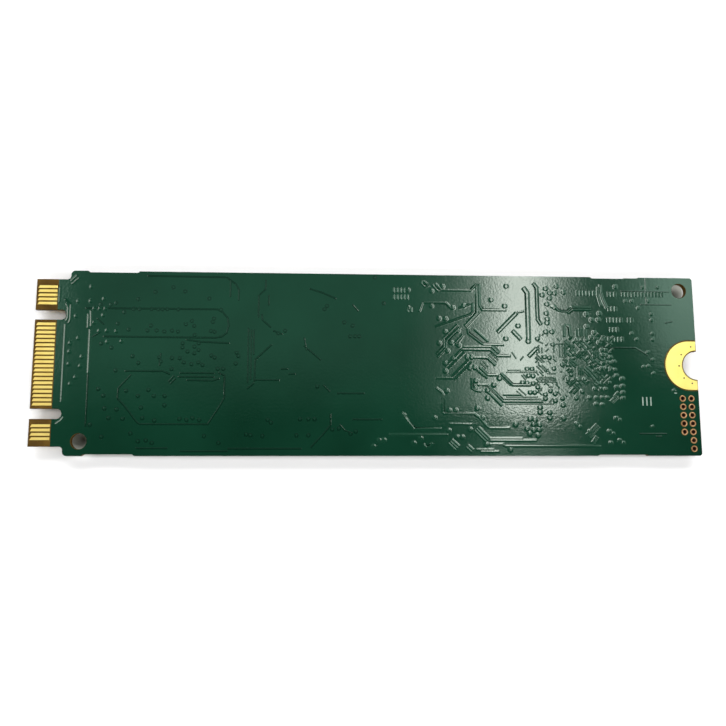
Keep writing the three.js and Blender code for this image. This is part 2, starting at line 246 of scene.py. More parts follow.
def add_skin(bm, rings, material, closed=True, flip=False):
    """Joins neighbouring rings of points by smooth faces. A ring of one point is a pole."""
    for first, second in zip(rings, rings[1:]):
        count = max(len(first), len(second))
        for i in range(count if closed else count - 1):
            j = (i + 1) % count
            corners = [ring[k % len(ring)] for ring, k in ((first, i), (first, j), (second, j), (second, i))]
            corners = list(dict.fromkeys(corners))
            if flip:
                corners.reverse()
            face = bm.faces.new(corners)
            face.smooth = True
            face.material_index = material


def add_cap(bm, rings, upward, material):
    """A flat face within the first ring, with the other rings as holes."""
    loops = [[v.co for v in ring] for ring in rings]
    verts = [v for ring in rings for v in ring]
    for triangle in tessellate_polygon(loops):
        corners = [verts[i] for i in triangle]
        normal = (corners[1].co - corners[0].co).cross(corners[2].co - corners[0].co)
        if normal.length == 0:
            continue
        if (normal.z > 0) != upward:
            corners.reverse()
        face = bm.faces.new(corners)
        face.material_index = material


def add_plate(bm, outer, holes, low, high, bevel=0.02, material=0):
    """A flat plate with holes and narrow rounded edges on both faces."""
    edges = []
    shoulder = bevel * 0.3
    for ring in [outer] + holes:
        ring = without_doubles(ring)
        inner = inset_ring(ring, bevel)
        half = inset_ring(ring, shoulder)
        levels = [
            (inner, low), (half, low + shoulder), (ring, low + bevel),
            (ring, high - bevel), (half, high - shoulder), (inner, high),
        ]
        edge = [add_ring(bm, points, z) for points, z in levels]
        add_skin(bm, edge, material)
        edges.append(edge)
    add_cap(bm, [edge[-1] for edge in edges], True, material)
    add_cap(bm, [edge[0] for edge in edges], False, material)


def add_block(bm, low, high, bevel=0.03, material=0):
    """A box with rounded edges, from its lowest and highest corners."""
    outline = rounded(rectangle(low[0], low[1], high[0], high[1]), bevel * 1.2)
    add_plate(bm, outline, [], low[2], high[2], bevel, material)


def start_piece(node):
    """A new mesh, with the lowest and highest corner of the CAD node that it stands for."""
    low, high = box_mm(node)
    return bmesh.new(), low, high


def add_lathe(bm, cx, cy, profile, count=24, material=0, closed=False):
    """Turns (radius, z) points about a vertical axis. A radius of 0 closes the surface there."""
    rings = []
    for radius, z in profile:
        points = circle(cx, cy, radius, count, 1) if radius else [(cx, cy)]
        rings.append(add_ring(bm, points, z))
    if closed:
        rings.append(rings[0])
    add_skin(bm, rings, material)


def make_object(name, bm, materials):
    """Turns a bmesh into an object of the scene."""
    mesh = bpy.data.meshes.new(name)
    bm.to_mesh(mesh)
    bm.free()
    for material in materials:
        mesh.materials.append(material)
    made = bpy.data.objects.new(name, mesh)
    bpy.context.scene.collection.objects.link(made)
    return made


def finish_piece(name, bm, materials, node):
    """Makes a piece that rides on the card in place of one CAD node."""
    piece = make_object(name, bm, materials)
    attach(piece, "root")
    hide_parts(node)


# ---- materials ----


class Nodes:
    """Small helper that builds one material's node tree."""

    def __init__(self, name):
        self.material = bpy.data.materials.new(name)
        self.material.use_nodes = True
        self.tree = self.material.node_tree
        self.shader = self.tree.nodes["Principled BSDF"]
        self.coords = self.tree.nodes.new("ShaderNodeTexCoord").outputs["Object"]

    def feed(self, socket, value):
        """Sets a socket to a constant, or links another node's output to it."""
        if isinstance(value, bpy.types.NodeSocket):
            self.tree.links.new(value, socket)
        else:
            socket.default_value = value

    def set(self, **values):
        """Feeds the shader's own sockets, named with _ in place of a space."""
        for key, value in values.items():
            self.feed(self.shader.inputs[key.replace("_", " ")], value)

    def node(self, kind, output, inputs, **settings):
        """Adds a node, feeds its inputs and gives back one of its outputs."""
        node = self.tree.nodes.new("ShaderNode" + kind)
        for key, value in settings.items():
            setattr(node, key, value)
        for key, value in inputs.items():
            self.feed(node.inputs[key], value)
        return node.outputs[output]

    def scaled(self, scale):
        return self.node("Mapping", "Vector", {"Scale": scale, "Vector": self.coords})

    def axes(self):
        """The X and Y coordinates, in millimetres."""
        x = self.node("SeparateXYZ", "X", {"Vector": self.scaled((1 / MM, 1 / MM, 1 / MM))})
        return x, x.node.outputs["Y"]

    def noise(self, scale, detail, roughness=0.5, stretch=None):
        vector = self.scaled(stretch) if stretch else self.coords
        inputs = {"Scale": scale, "Detail": detail, "Roughness": roughness, "Vector": vector}
        return self.node("TexNoise", "Fac", inputs)

    def wave(self, scale, axis, distortion):
        """Soft bands across one axis."""
        inputs = {"Scale": scale, "Distortion": distortion, "Detail": 2.0, "Vector": self.coords}
        return self.node("TexWave", "Fac", inputs, bands_direction=axis)

    def ramp(self, value, stops):
        """Colours by position: a value of 0 to 1 picks or mixes them."""
        color = self.node("ValToRGB", "Color", {"Fac": value})
        elements = color.node.color_ramp.elements
        while len(elements) < len(stops):
            elements.new(0.5)
        for element, (position, shade) in zip(elements, stops.items()):
            element.position = position
            element.color = (*shade, 1.0)
        return color

    def mix(self, share, first, second):
        return self.node("MixRGB", "Color", {"Fac": share, "Color1": first, "Color2": second})

    def math(self, operation, first, second=0.0):
        return self.node("Math", "Value", {0: first, 1: second}, operation=operation)

    def distance(self, x, y):
        return self.math("SQRT", self.math("ADD", self.math("POWER", x, 2.0), self.math("POWER", y, 2.0)))

    def spread(self, value, source, target):
        """A value, stretched from its own range to another."""
        inputs = {"From Min": source[0], "From Max": source[1], "To Min": target[0], "To Max": target[1]}
        return self.node("MapRange", "Result", {"Value": value, **inputs})

    def roughness(self, value, limits):
        self.set(Roughness=self.spread(value, (0.0, 1.0), limits))

    def bump(self, value, height_mm, strength):
        inputs = {"Strength": strength, "Distance": height_mm * MM, "Height": value}
        self.set(Normal=self.node("Bump", "Normal", inputs))


def mask_material(name, dark, light):
    """Semi-gloss solder mask: a fine orange peel, with the glass weave faintly printed through it."""
    n = Nodes(name)
    weave = n.math("ADD", n.wave(620, "X", 1.2), n.wave(620, "Y", 1.2))
    n.set(Base_Color=n.ramp(n.noise(90, 4), {0.3: dark, 0.7: light}), Specular_IOR_Level=0.5)
    n.roughness(n.noise(700, 3), (0.05, 0.08))
    grain = n.math("ADD", n.noise(4200, 2, 0.6), n.math("MULTIPLY", weave, 0.03))
    swell = n.math("MULTIPLY", n.noise(420, 2, 0.4), 0.5)
    n.bump(n.math("ADD", swell, grain), 0.0062, 1.0)
    return n.material


def grained(name, colors, tone, finish, limits, relief=None, **shader):
    """A material whose colour, roughness and fine relief each follow a noise.

    Tone is the noise of the colour, and finish that of the roughness, which keeps within the limits.
    Relief holds the bump's noise, its height in millimetres and its strength.
    """
    n = Nodes(name)
    n.set(Base_Color=n.ramp(n.noise(*tone), colors), **shader)
    n.roughness(n.noise(*finish), limits)
    if relief:
        grain, height, strength = relief
        n.bump(n.noise(*grain), height, strength)
    return n.material


def laminate_material():
    """Glass epoxy: cloth layers show as fine lines along a routed edge."""
    layers = (1, 3, 0.6, (420, 420, 9000))
    fibres = (1, 3, 0.6, (1500, 1500, 16000))
    colors = {0.25: (0.045, 0.022, 0.003), 0.55: (0.095, 0.050, 0.007), 0.8: (0.17, 0.10, 0.018)}
    relief = (fibres, 0.01, 0.6)
    return grained("glass_epoxy", colors, layers, layers, (0.6, 0.8), relief, Specular_IOR_Level=0.2)


def metal(name, dark, light, limits):
    colors = {0.3: dark, 0.7: light}
    return grained(name, colors, (1600, 4), (2400, 3), limits, ((3000, 3), 0.004, 0.6), Metallic=1.0)


def mineral(name, dark, light, limits):
    grain = (4200, 4, 0.65)
    return grained(name, {0.3: dark, 0.72: light}, grain, (1500, 3), limits, (grain, 0.006, 0.6))


def label_material():
    """Coated label stock with a plain band and rows of plain printed bars."""
    band_end = -22.5
    bars_start, bars_end = -19, -2
    bars_half = 6.4
    row_pitch = 1.6
    gap_share = 0.72
    n = Nodes("label_print")
    x, y = n.axes()
    rows = n.math("GREATER_THAN", n.math("FRACT", n.math("DIVIDE", y, row_pitch)), gap_share)
    span = n.math("MULTIPLY", n.math("GREATER_THAN", x, bars_start), n.math("LESS_THAN", x, bars_end))
    height = n.math("LESS_THAN", n.math("ABSOLUTE", y), bars_half)
    bars = n.math("MULTIPLY", n.math("MULTIPLY", rows, span), height)
    paper = n.ramp(n.noise(1200, 4), {0.3: (0.74, 0.74, 0.72), 0.7: (0.82, 0.82, 0.80)})
    with_band = n.mix(n.math("LESS_THAN", x, band_end), paper, (0.10, 0.20, 0.34, 1))
    n.set(Base_Color=n.mix(bars, with_band, (0.16, 0.16, 0.17, 1)))
    n.roughness(n.noise(1500, 3), (0.42, 0.55))
    n.bump(n.noise(2500, 4), 0.003, 0.5)
    return n.material


MASK = mask_material("solder_mask", (0.0026, 0.0250, 0.0125), (0.0046, 0.0370, 0.0195))
MASK_ON_COPPER = mask_material("solder_mask_on_copper", (0.0042, 0.0320, 0.0165), (0.0062, 0.0400, 0.0215))
MASK_OFF_COPPER = mask_material("solder_mask_off_copper", (0.0016, 0.0170, 0.0085), (0.0024, 0.0215, 0.0110))
INK = mineral("marking_ink", (0.20, 0.27, 0.23), (0.32, 0.40, 0.35), (0.5, 0.65))
LAMINATE = laminate_material()
GOLD = grained(
    "gold_plating", {0.3: (0.83, 0.58, 0.15), 0.7: (0.91, 0.69, 0.21)},
    (420, 3), (1800, 3), (0.32, 0.44), ((2200, 3, 0.6), 0.003, 0.6), Metallic=0.55,
)
COPPER = grained(
    "copper_ring", {0.3: (0.36, 0.17, 0.075), 0.7: (0.68, 0.40, 0.21)},
    (2500, 3), (3000, 2), (0.35, 0.55), Metallic=0.5,
)
# Dull barrel copper; the same dark colour also serves as painted shade on the plug inside each test hole.
DULL_BARREL_AND_SHADE = grained(
    "dull_barrel_and_painted_shade", {0.3: (0.035, 0.010, 0.006), 0.7: (0.10, 0.035, 0.02)}, (3000, 3), (3000, 2), (0.6, 0.8),
)
MOULD = grained(
    "mould_compound", {0.3: (0.016, 0.016, 0.017), 0.75: (0.032, 0.032, 0.034)},
    (5200, 4, 0.7), (900, 3), (0.5, 0.66), ((5200, 4, 0.7), 0.012, 0.7),
)
SUBSTRATE = grained(
    "package_substrate", {0.3: (0.012, 0.05, 0.025), 0.8: (0.05, 0.10, 0.045)},
    (1, 2, 0.5, (500, 500, 14000)), (2000, 2), (0.4, 0.6),
)
TIN = metal("tin_plating", (0.50, 0.50, 0.49), (0.72, 0.72, 0.70), (0.28, 0.45))
LID = metal("nickel_lid", (0.52, 0.52, 0.51), (0.66, 0.65, 0.63), (0.22, 0.34))
FERRITE = mineral("ferrite", (0.045, 0.045, 0.048), (0.10, 0.10, 0.105), (0.55, 0.75))
TAN_CERAMIC = mineral("capacitor_ceramic", (0.20, 0.125, 0.07), (0.33, 0.22, 0.135), (0.4, 0.55))
RESIN = mineral("capacitor_resin", (0.020, 0.018, 0.017), (0.045, 0.04, 0.037), (0.4, 0.6))
WHITE_CERAMIC = mineral("white_ceramic", (0.50, 0.49, 0.47), (0.66, 0.65, 0.63), (0.5, 0.65))
OVERCOAT = mineral("resistor_overcoat", (0.010, 0.012, 0.016), (0.022, 0.025, 0.032), (0.2, 0.35))
LABEL = label_material()


# ---- etched copper under the mask ----


def pairs(values):
    """Points from a flat row of x, y, x, y."""
    return list(zip(values[::2], values[1::2]))


def near_bends(points, gap=0.05):
    """A path with an extra point close to both ends of every straight run, so shading stays even."""
    path = [Vector(points[0])]
    for start, end in zip(points, points[1:]):
        start, end = Vector(start), Vector(end)
        length = (end - start).length
        if length > 3 * gap:
            path.append(start.lerp(end, gap / length))
            path.append(end.lerp(start, gap / length))
        path.append(end)
    return path


class Relief:
    """Raised mask over traces and vias on one face of the card.

    Heights are shares of the full copper rise above the film.
    """

    def __init__(self, bm, film_z, facing, material, core_material):
        self.bm = bm
        self.film_z = film_z
        self.facing = facing
        self.material = material
        self.core_material = core_material

    def row(self, spots, heights):
        """A row of points over the film, each at its own height."""
        levels = [self.film_z + self.facing * height * COPPER_RISE for height in heights]
        return [self.bm.verts.new((x * MM, y * MM, z * MM)) for (x, y), z in zip(spots, levels)]

    def skin(self, rows, material, closed):
        add_skin(self.bm, rows, material, closed, self.facing == FACE_DOWN)

    def trace(self, points, width=0.16, rise=1.0, slope=COPPER_SLOPE):
        """A ridge along a bent line, with curved sides and ends."""
        half = width / 2
        climb = [(max(half + share * slope, half * 0.4), height) for share, height in SLOPE_STEPS]
        climb.append((half * 0.2, 1.0))
        profile = climb + [(-offset, height) for offset, height in reversed(climb)]
        path = near_bends(points)
        stations = []
        for i, here in enumerate(path):
            before = path[i] - path[i - 1] if i else path[1] - path[0]
            after = path[i + 1] - path[i] if i + 1 < len(path) else before
            stations.append((here, mitre(before, after), 1.0))
        start = (path[0] - path[1]).normalized() * slope
        end = (path[-1] - path[-2]).normalized() * slope
        for share, limit in END_STEPS:
            stations.insert(0, (path[0] + start * share, stations[0][1], limit))
            stations.append((path[-1] + end * share, stations[-1][1], limit))
        rows = []
        for here, side, limit in stations:
            heights = [min(height, limit) * rise for _, height in profile]
            rows.append(self.row([here + side * offset for offset, _ in profile], heights))
        self.skin(rows, self.material, closed=False)

    def traces(self, routes, rise=1.0, slope=COPPER_SLOPE):
        for width, lines in routes.items():
            for line in lines:
                self.trace(pairs(line), width, rise, slope)

    def fine(self, points, width=0.07):
        """A narrow ridge. The mask clings tighter to it over the crowded middle field."""
        crowded = CROWDED_X[0] < points[0][0] < CROWDED_X[1]
        rise, slope = (FINE_RISE, FINE_SLOPE) if crowded else (1.0, COPPER_SLOPE)
        self.trace(points, width, rise, slope)

    def bundle(self, points, count, spacing):
        """Parallel traces: copies of a line, stepped to its right-hand side."""
        direction = (Vector(points[-1]) - Vector(points[0])).normalized()
        side = Vector((direction.y, -direction.x)) * spacing
        for index in range(count):
            self.fine([tuple(Vector(p) + side * index) for p in points])

    def vias(self, centres, radius, rise=1.0):
        """Tented vias: low round bosses, each with a shallow dimple in its middle."""
        slope = min(VIA_SLOPE, radius * 0.4)
        profile = [(radius - (1 - share) * slope, height) for share, height in SLOPE_STEPS]
        rim = profile[-1][0]
        profile += [(rim * 0.75, 1.0), (rim * 0.4, 0.96), (0.0001, 0.94)]
        core = len(SLOPE_STEPS)
        for x, y in centres:
            rows = []
            for size, height in profile:
                rows.append(self.row(circle(x, y, size, VIA_SIDES, 1), [height * rise] * VIA_SIDES))
            self.skin(rows[:core], self.material, closed=True)
            self.skin(rows[core - 1:], self.core_material, closed=True)

    def loose_stubs(self, low, high, count, rng):
        """Short slanted stubs between the balls, too dense to list one by one."""
        for _ in range(count):
            x = rng.uniform(low[0], high[0])
            y = rng.uniform(low[1], high[1])
            length = rng.choice((0.25, 0.35, 0.5))
            run, climb = rng.choice(((1, 1), (1, -1), (1, 1), (1, -1), (0, 1), (1, 0)))
            self.fine([(x, y), (x + run * length, y + climb * length)], 0.06)

    def tick_row(self, x, y, count, pitch=0.42, height=0.5):
        """A row of short plain strokes, in place of an etched legend."""
        for index in range(count):
            cx = x + index * pitch
            self.fine([(cx, y - height / 2), (cx, y + height / 2)], 0.06)


# Routes by zone: trace width, then the points of each route as x, y, x, y.
CONNECTOR_ROUTES = {
    0.03: [(-37.2, 8.85, -37.22, 7.2)],
    0.06: [(-33.75, 5.7, -33.75, 4.1)],
    0.07: [
        (-36.38, 4.45, -36.38, -4.7), (-33.47, 3.85, -33.47, -1.3),
        (-36.55, 7.5, -35.86, 6.85, -35.86, 5, -36, 4.65), (-36.85, -7.3, -36.35, -6.95, -36.05, -6.55),
        (-35.85, 9.35, -35.05, 10.1),
    ],
    0.08: [(-33.47, 6.1, -33.38, 4.3), (-35.95, 9.75, -35.3, 10.4)],
    0.1: [(-36.38, 6.95, -36.15, 6.45, -36.12, 5.3, -36.3, 4.9)],
}
FLASH_ROUTES = {
    0.07: [
        (32.4, -8.35, 35.7, -8.35), (36.3, 5.3, 37.2, 5.5), (34.05, 10.9, 34.05, 7.6),
        (28.2, 2.15, 32.4, 2.15, 33.9, 1.25), (33.3, 7.6, 37.2, 7.6), (30.8, 9.25, 37, 9.25),
        (-17.1, 10, -17.1, 8), (-12.5, 8.3, -12.5, 7), (-14.2, 4, -14.2, 1), (-8.2, 3.1, -7.9, 1.6),
        (-10, -1.3, -9.2, -1.3), (-3.9, -7.3, -3.3, -8, -2.5, -8.3), (-33.2, 3, -32.2, 3.6),
        (-32.7, 5.2, -31.9, 4.5),
    ],
    0.08: [
        (34.4, -8.68, 35.1, -8.68), (-22.8, -1.25, -18.8, -1.25), (-23, -1.7, -18.8, -1.7),
        (-22, -2.1, -18.9, -2.15, -18.2, -1.9), (-25.1, 1.1, -25.2, -0.4), (-14.85, 4.2, -14.85, -2.4),
        (-14.5, 4, -14.5, -2), (-14, -2.05, -11.1, -2.05), (-10.9, -0.7, -10.1, -0.7),
        (-8.2, 2.1, -6.2, 0.4), (-5.9, -2.6, -5.1, -3.4), (-2.4, -6.7, 1.1, -6.7),
        (-13.7, 5.5, -13.7, 8.2, -12.9, 9, -12.9, 10.1), (-11.9, 3.9, -10.8, 3.5),
        (-7.6, 9.1, -6, 8.6, -4.4, 7.9), (-4.2, -3.6, -1, -3.6), (-2.4, 7.2, -1.7, 6.4),
    ],
    0.09: [
        (-33.47, -1.3, -33.47, -7.6), (-22.2, 2.75, -20.5, 2.5, -17.1, 2.35),
        (-28.5, -1.5, -29.9, -3.1, -29.95, -4.3, -29, -5.3, -27.7, -7, -27.3, -7.3, -19.4, -7.3,
         -17.9, -4.9, -17.55, -4.2, -17.55, -1.5, -18.3, -1.2),
        (-13.3, 5.9, -13.2, 5.2, -12.2, 4.3),
        (-27, 10.45, -17.6, 10.4, -16.5, 9.6, -16.1, 8.9, -16.1, 7.6), (-27.6, -10.1, -24, -10.1),
        (-22.5, -10.45, -17, -10.45),
    ],
    0.1: [
        (-34.1, 6.45, -18.6, 6.45, -17.95, 6.1, -17.35, 5.4, -17.2, 4.5, -17.45, 3.6, -18, 3.15,
         -18.8, 3, -31.9, 3.05),
        (-29.2, -1.05, -24.8, -1.05, -24, -1.4), (-24.1, -2.3, -23.5, -1.6), (-23.9, -2.55, -23.3, -1.9),
        (-14.05, -2.2, -14, 0.4, -12.1, 2.2), (-14.9, -3.1, -14.1, -2.4), (-17, -10.15, -8.4, -10.15),
        (-7.3, -10, -5.7, -8.3, -5, -7.4, -5, -6.1),
    ],
}
BUFFER_ROUTES = {
    0.08: [
        (6.3, 10.2, 6.7, 9.9), (12.02, -1.7, 12.02, -2.9, 12.4, -3.15, 13.1, -3.3),
        (14, -8.93, 18, -8.93), (12.4, -10.25, 14.5, -10.25), (12.9, -10.5, 15.1, -10.5),
        (9.2, -7.18, 11.9, -7.25), (2, -8.5, 9, -8.5), (6.1, -9.65, 6.4, -9.95, 6.85, -9.9, 7.1, -9.5),
    ],
    0.09: [
        (6.3, 7.55, 9, 7.55, 9.65, 6.85), (10.6, 6.9, 12, 7.4), (12.7, -0.7, 13.9, -1.65),
        (7.7, -1.7, 9.7, -1.7),
    ],
    0.1: [
        (3.55, -5.9, 4, -6.6, 5, -7.8, 8.2, -7.8), (6.05, 10.25, 6.05, 9.95, 6.5, 9.5, 6.95, 9.75),
        (7.75, 9.9, 8.4, 9.25), (12.3, 7.5, 12.3, 6.5, 12.05, 6.15, 9.4, 5.2, 7.7, 4.6),
        (10.85, 3.3, 10.1, 2.3), (11.65, 4.35, 11.7, 3.8, 13.5, 2.4, 16, 2.4),
        (13, -0.4, 13.95, -1.3, 15.3, -1.3), (13.95, -3.35, 15.6, -5),
        (7.7, -2.9, 8.3, -3.4, 8.45, -3.65, 8.45, -5.8, 8.6, -5.98, 12.2, -5.98, 12.9, -6.5, 13.6, -7.35,
         14, -7.68, 16.5, -7.68),
        (14.1, -9.18, 19.7, -9.18),
    ],
    0.12: [
        (5.7, 6.45, 6.1, 7.5), (7.4, 9.75, 8.1, 9, 8.3, 9.12, 12.1, 9.12, 12.8, 9.95),
        (13.12, 9.9, 13.12, 7.3, 13.5, 6.7, 16.4, 6.7), (13.1, 6.4, 11.4, 4.55),
        (10.4, 4.85, 8.7, 3.15, 8.7, 2.1, 7.8, 1.2), (10.7, 4.55, 9.05, 2.9, 8.95, 1.95, 7.9, 0.85),
        (11.05, 3.6, 10.05, 2.55), (10.9, 1.78, 14.35, 1.78, 15.2, 1.05, 16.8, 1.05),
        (11, 2.1, 14.5, 2.15, 15.4, 1.4), (12.3, 0.8, 14, 0.8, 14.9, -0.1),
        (12.7, -2.5, 13.9, -2.5, 15.8, -4.48, 20.6, -4.48),
        (14, -9.62, 15.6, -9.62, 15.9, -9.82, 24.2, -9.82, 27.5, -9.88),
    ],
    0.16: [(12.82, 9.6, 12.82, 6.3, 11.3, 4.7)],
}
CONTROLLER_ROUTES = {
    0.08: [(15.8, -3.65, 17.9, -3.65), (20, -1.7, 22, -1.7)],
    0.09: [(18, -0.85, 20, -0.85)],
    0.1: [
        (17.9, 6.45, 18.6, 6.6), (22, 7.15, 22.45, 7.25, 23, 6.65, 24.05, 6.6, 24.6, 7.15, 27, 7.1),
        (24.1, 6.4, 24.7, 6.85, 27, 6.85), (28, 9.7, 28, 8.6, 28.3, 7.4),
    ],
    0.12: [
        (23.55, 4.9, 23.55, 3.5), (23.85, 4.9, 24.2, 4.75, 24.3, 3.5), (15.6, -1.1, 17, -2.5, 19.2, -2.5),
        (28.3, 10, 28.3, 9.1, 28.55, 8.2, 29, 7.1),
    ],
    0.22: [(19.9, 10.1, 20.3, 9.6, 20.3, 5.6, 20.7, 4.95)],
    0.26: [(15.3, 3.95, 17.7, 6.35), (17.15, 4.15, 18.15, 3.1), (19.05, 1, 20.05, 2)],
    0.34: [(18.65, 9.55, 19.1, 8.9, 19.1, 3.1)],
}
UNDER_ROUTES = {
    0.1: [(-37, 1.1, -36.1, 1.1), (-37, -0.4, -36.1, -0.4)],
    0.12: [
        (15, 3.2, 18.6, 3.2), (15, 2.8, 18.6, 2.8), (15, 0.2, 18.6, 0.2), (15, -0.2, 18.6, -0.2),
        (15, -3, 18.6, -3), (15, -3.4, 18.6, -3.4), (31.3, -6.6, 31.3, -8.8, 32, -8.8),
    ],
    0.14: [
        (-33.5, 6.6, -30, 6.6, -29, 7.6, -28.4, 9.9, -26, 9.9), (-31, 4.3, -29, 4.3),
        (4, 9.6, 17, 9.6, 19, 8.6),
    ],
    0.2: [(31.2, 1.6, 31.2, 6.2, 31.9, 6.9), (31.2, -3.4, 31.9, -4.1)],
}

# Bundles: number of traces, spacing, then the first trace from end to end.
BUNDLES = [
    (2, 0.46, (11.2, 1.5, 9.15, -0.55)), (2, 0.46, (12, 0.25, 9.9, -1.85)),
    (1, 0.34, (12.45, 4.3, 14.05, 2.8)), (3, 0.33, (14.3, 1.45, 15.3, 0.5)),
    (2, 0.31, (13.4, 0.35, 14, -0.3)), (1, 0.31, (14.05, -2.85, 15.75, -4.5)),
    (2, 0.31, (15.75, -1.2, 16.9, -2.35)), (2, 0.39, (17.7, -2.95, 18.6, -3.75)),
    (3, 0.3, (12.7, -7.6, 14, -8.9)), (3, 0.3, (9.5, -9.1, 10.3, -9.85)),
    (2, 0.3, (11.4, -9.75, 12, -10.3)), (3, 0.3, (27.55, -7.65, 26.3, -8.9)),
    (2, 0.3, (27.3, -8.85, 26.75, -9.6)), (2, 0.3, (30, -3.9, 29.2, -4.7)),
    (2, 0.34, (14.75, 2.35, 15.5, 1.6)),
]

CONNECTOR_VIAS = [
    (-35.02, 7.25), (-35.2, 5.45), (-34.8, 2.8), (-35.72, 2.2), (-35.75, 1.18), (-34.27, 0.6),
    (-35.75, -0.28), (-34.4, -0.52), (-34.9, -1.85), (-35.48, -2.65), (-33.55, 9.05), (-33.55, 7.3),
    (-33.1, 6.4), (-32.45, 6.4), (-31.8, 6.4), (-32, 7.6), (-32, 5.6), (-33.05, 4.7), (-32.4, 3.7),
    (-31.5, 3.75), (-31.4, 2.4), (-30.4, 3.7), (-29.75, 2.5),
]
FLASH_VIAS = [
    (-28.4, 0.7), (-27.7, -0.1), (-31.6, -4), (-32.2, -3.2), (-30.3, -1), (-30.9, -6.6), (-29.25, -6.7),
    (-30, -5.6), (-31.4, -5.5), (-29, -3.4), (-27.6, -4), (-25.75, -4), (-24.5, -4), (-24.5, -5.1),
    (-27.2, -5.4), (-27, -6.6), (-25.6, -6.9), (-26, 8.5), (-23.9, 9.1), (-22.5, 8.6), (-19.6, 7.75),
    (-19.2, 0.85), (-18.4, -0.75), (-17.75, -0.75), (-22.7, -6.7), (-21.2, -6.6), (-28.5, 6.4),
    (-27.8, 6.4), (-26.4, 6.4), (-25.6, 6.4), (-25.1, 6.4), (-24.55, 6.4), (-23.25, 6.4), (-18.2, 6.4),
    (-26.4, 4.4), (-26.8, 3.8), (-25.7, 3.8), (-24.8, 3.7), (-23.9, 3.8), (-23.2, 3.7), (-22.3, 4.6),
    (-21.3, 4.4), (-21.2, 3.3), (-19.1, 4.9), (-19.3, 3.8), (-23.8, 0.5), (-22.6, 1.8), (-22.4, 0),
    (-21.2, 1.9), (-21.2, 1.1), (-20.7, 0), (-16.3, -0.1), (-16, 0.8), (-12.4, -6.8), (-8.6, -6.7),
    (-7.6, -6.7), (-14.4, -8.6), (-7.6, -8.6), (-5.8, 6.6), (-10.5, 3.9), (-4.8, -7.9), (-4, -7.8),
    (-2.6, -8.4), (-2, -8.15), (-3.4, 5), (-2.4, 4.6), (-22.6, 2.3), (-22, 1.3), (-20.7, 2.3),
    (-20.7, 1.5), (-22.9, 0.5), (-21.5, -0.2), (-20.2, -0.3), (-18.8, 0.6), (-25.3, 0.6), (-25.1, 0.1),
    (-23.8, -0.8), (-13, -8.7), (-14.9, -8.5), (-9, -8.6), (-12, -7.1), (-6.9, -6.7), (-5.5, 7),
    (-11.3, 3.6), (-16.2, 1.2), (-6.6, -2.8), (-28.3, -8.4), (-27.4, -9.3), (-26.5, -9.2), (-25.8, -9.5),
    (-19.8, -8.7), (-18.1, -9.5), (-21.9, -6.8), (-20.4, -6.8), (-26.4, -3.3), (-19, 5.3), (-21.6, 5),
    (-18.9, 3.7), (-28, 7.6), (-1.6, 3.3), (-2.1, 3.3), (-2.7, 3.3), (1.4, 7.4), (0.3, 10.6), (-33, -7.4),
    (-31.6, -8.8), (-32.1, 2.2), (-30.9, 1.7), (-32.4, 6.9), (-31.2, 6.9), (-30.6, 7.1), (-29.6, 6),
    (-30.3, 4.6), (-29, 3.9),
]
BUFFER_VIAS = [
    (4.35, 9.1), (4.4, 6.9), (7.2, 7.15), (7.25, 9), (8.6, 9.6), (8.1, 5.6), (8.9, 5.55), (8.85, 3.95),
    (8.1, 2.55), (9.6, 2.6), (10.5, 2.3), (9.8, 0.7), (8.8, 0.1), (8.8, -0.85), (10.4, 4.1), (9.1, 1.6),
    (11.5, 0.85), (12.05, 0.85), (11.8, -0.45), (12.4, -0.4), (9.85, 6.95), (11.2, 7.2), (12.5, -2),
    (12.45, -2.95), (13.9, -3.2), (13.9, -4.1), (14.7, -2.5), (15.4, -1.7), (8.95, -3.25), (12.6, -5.35),
    (13.2, -6.5), (9.2, -5.6), (9.95, -5.55), (9.1, -8), (11.7, -7.9), (10.1, -8.8), (10.7, -8.8),
    (7.4, -6.5), (3.75, -6.2), (5.75, -8.95), (4.9, -9.5), (0.1, -9.9), (0.8, -9.2), (1.35, -9.15),
    (13.6, -9.7),
]
CONTROLLER_VIAS = [
    (14.6, 7.95), (16.5, 9.7), (16.25, 7.2), (17.85, 4.75), (16.3, 3.15), (19.05, 2.85), (21.4, 9.45),
    (21.9, 8.9), (21.85, 8.25), (21.5, 7.5), (21.4, 6.35), (21.5, 5.65), (21.45, 5.15), (20.95, 8.65),
    (22.75, 9.75), (22.5, 8.9), (23.6, 9), (22.4, 7.1), (21.25, 4.05), (22, 4.05), (26.4, 6.3),
    (26.4, 4.75), (28.05, 6.4), (27.3, 4), (27.05, 5.6), (27.9, 5.6), (17.2, -7.3), (19, -6.6),
    (19.6, -6.75), (19.4, -7.25), (20.1, -7.3), (19.4, -7.95), (20.05, -7.9), (18.6, -7.8), (18.9, -8.4),
    (19.9, -8.6), (20.25, -5.2), (20.25, -5.8), (21.4, -5.85), (21.4, -6.45), (23.1, -6.5), (23.1, -4.9),
    (24.7, -7.2), (25.05, -7.55), (28.7, -8.1), (29.1, -8.4), (29.6, -6.5), (29.95, -6.75), (29.9, -9.2),
    (30.3, -9.5), (28.8, -9.5), (26.3, -8.1), (16.5, -10.3), (30.55, -1.7), (30.55, -2.6), (30.55, -3.4),
    (30.55, -4.1), (34.6, 6.4), (34.6, 5.65), (34.6, 3.95), (34.6, 3.2), (34.5, 0.7), (34.5, -1),
    (33.3, -0.2), (33.9, -0.1), (31.4, 8), (32.2, 8), (33, 7.15), (34.3, 8.05), (32, 3.95), (32.6, 3.2),
    (33.9, 1.6), (33.7, 9.8), (35.6, 9.8), (30.2, 9.8), (34, -7.5), (36.9, -3.1),
]

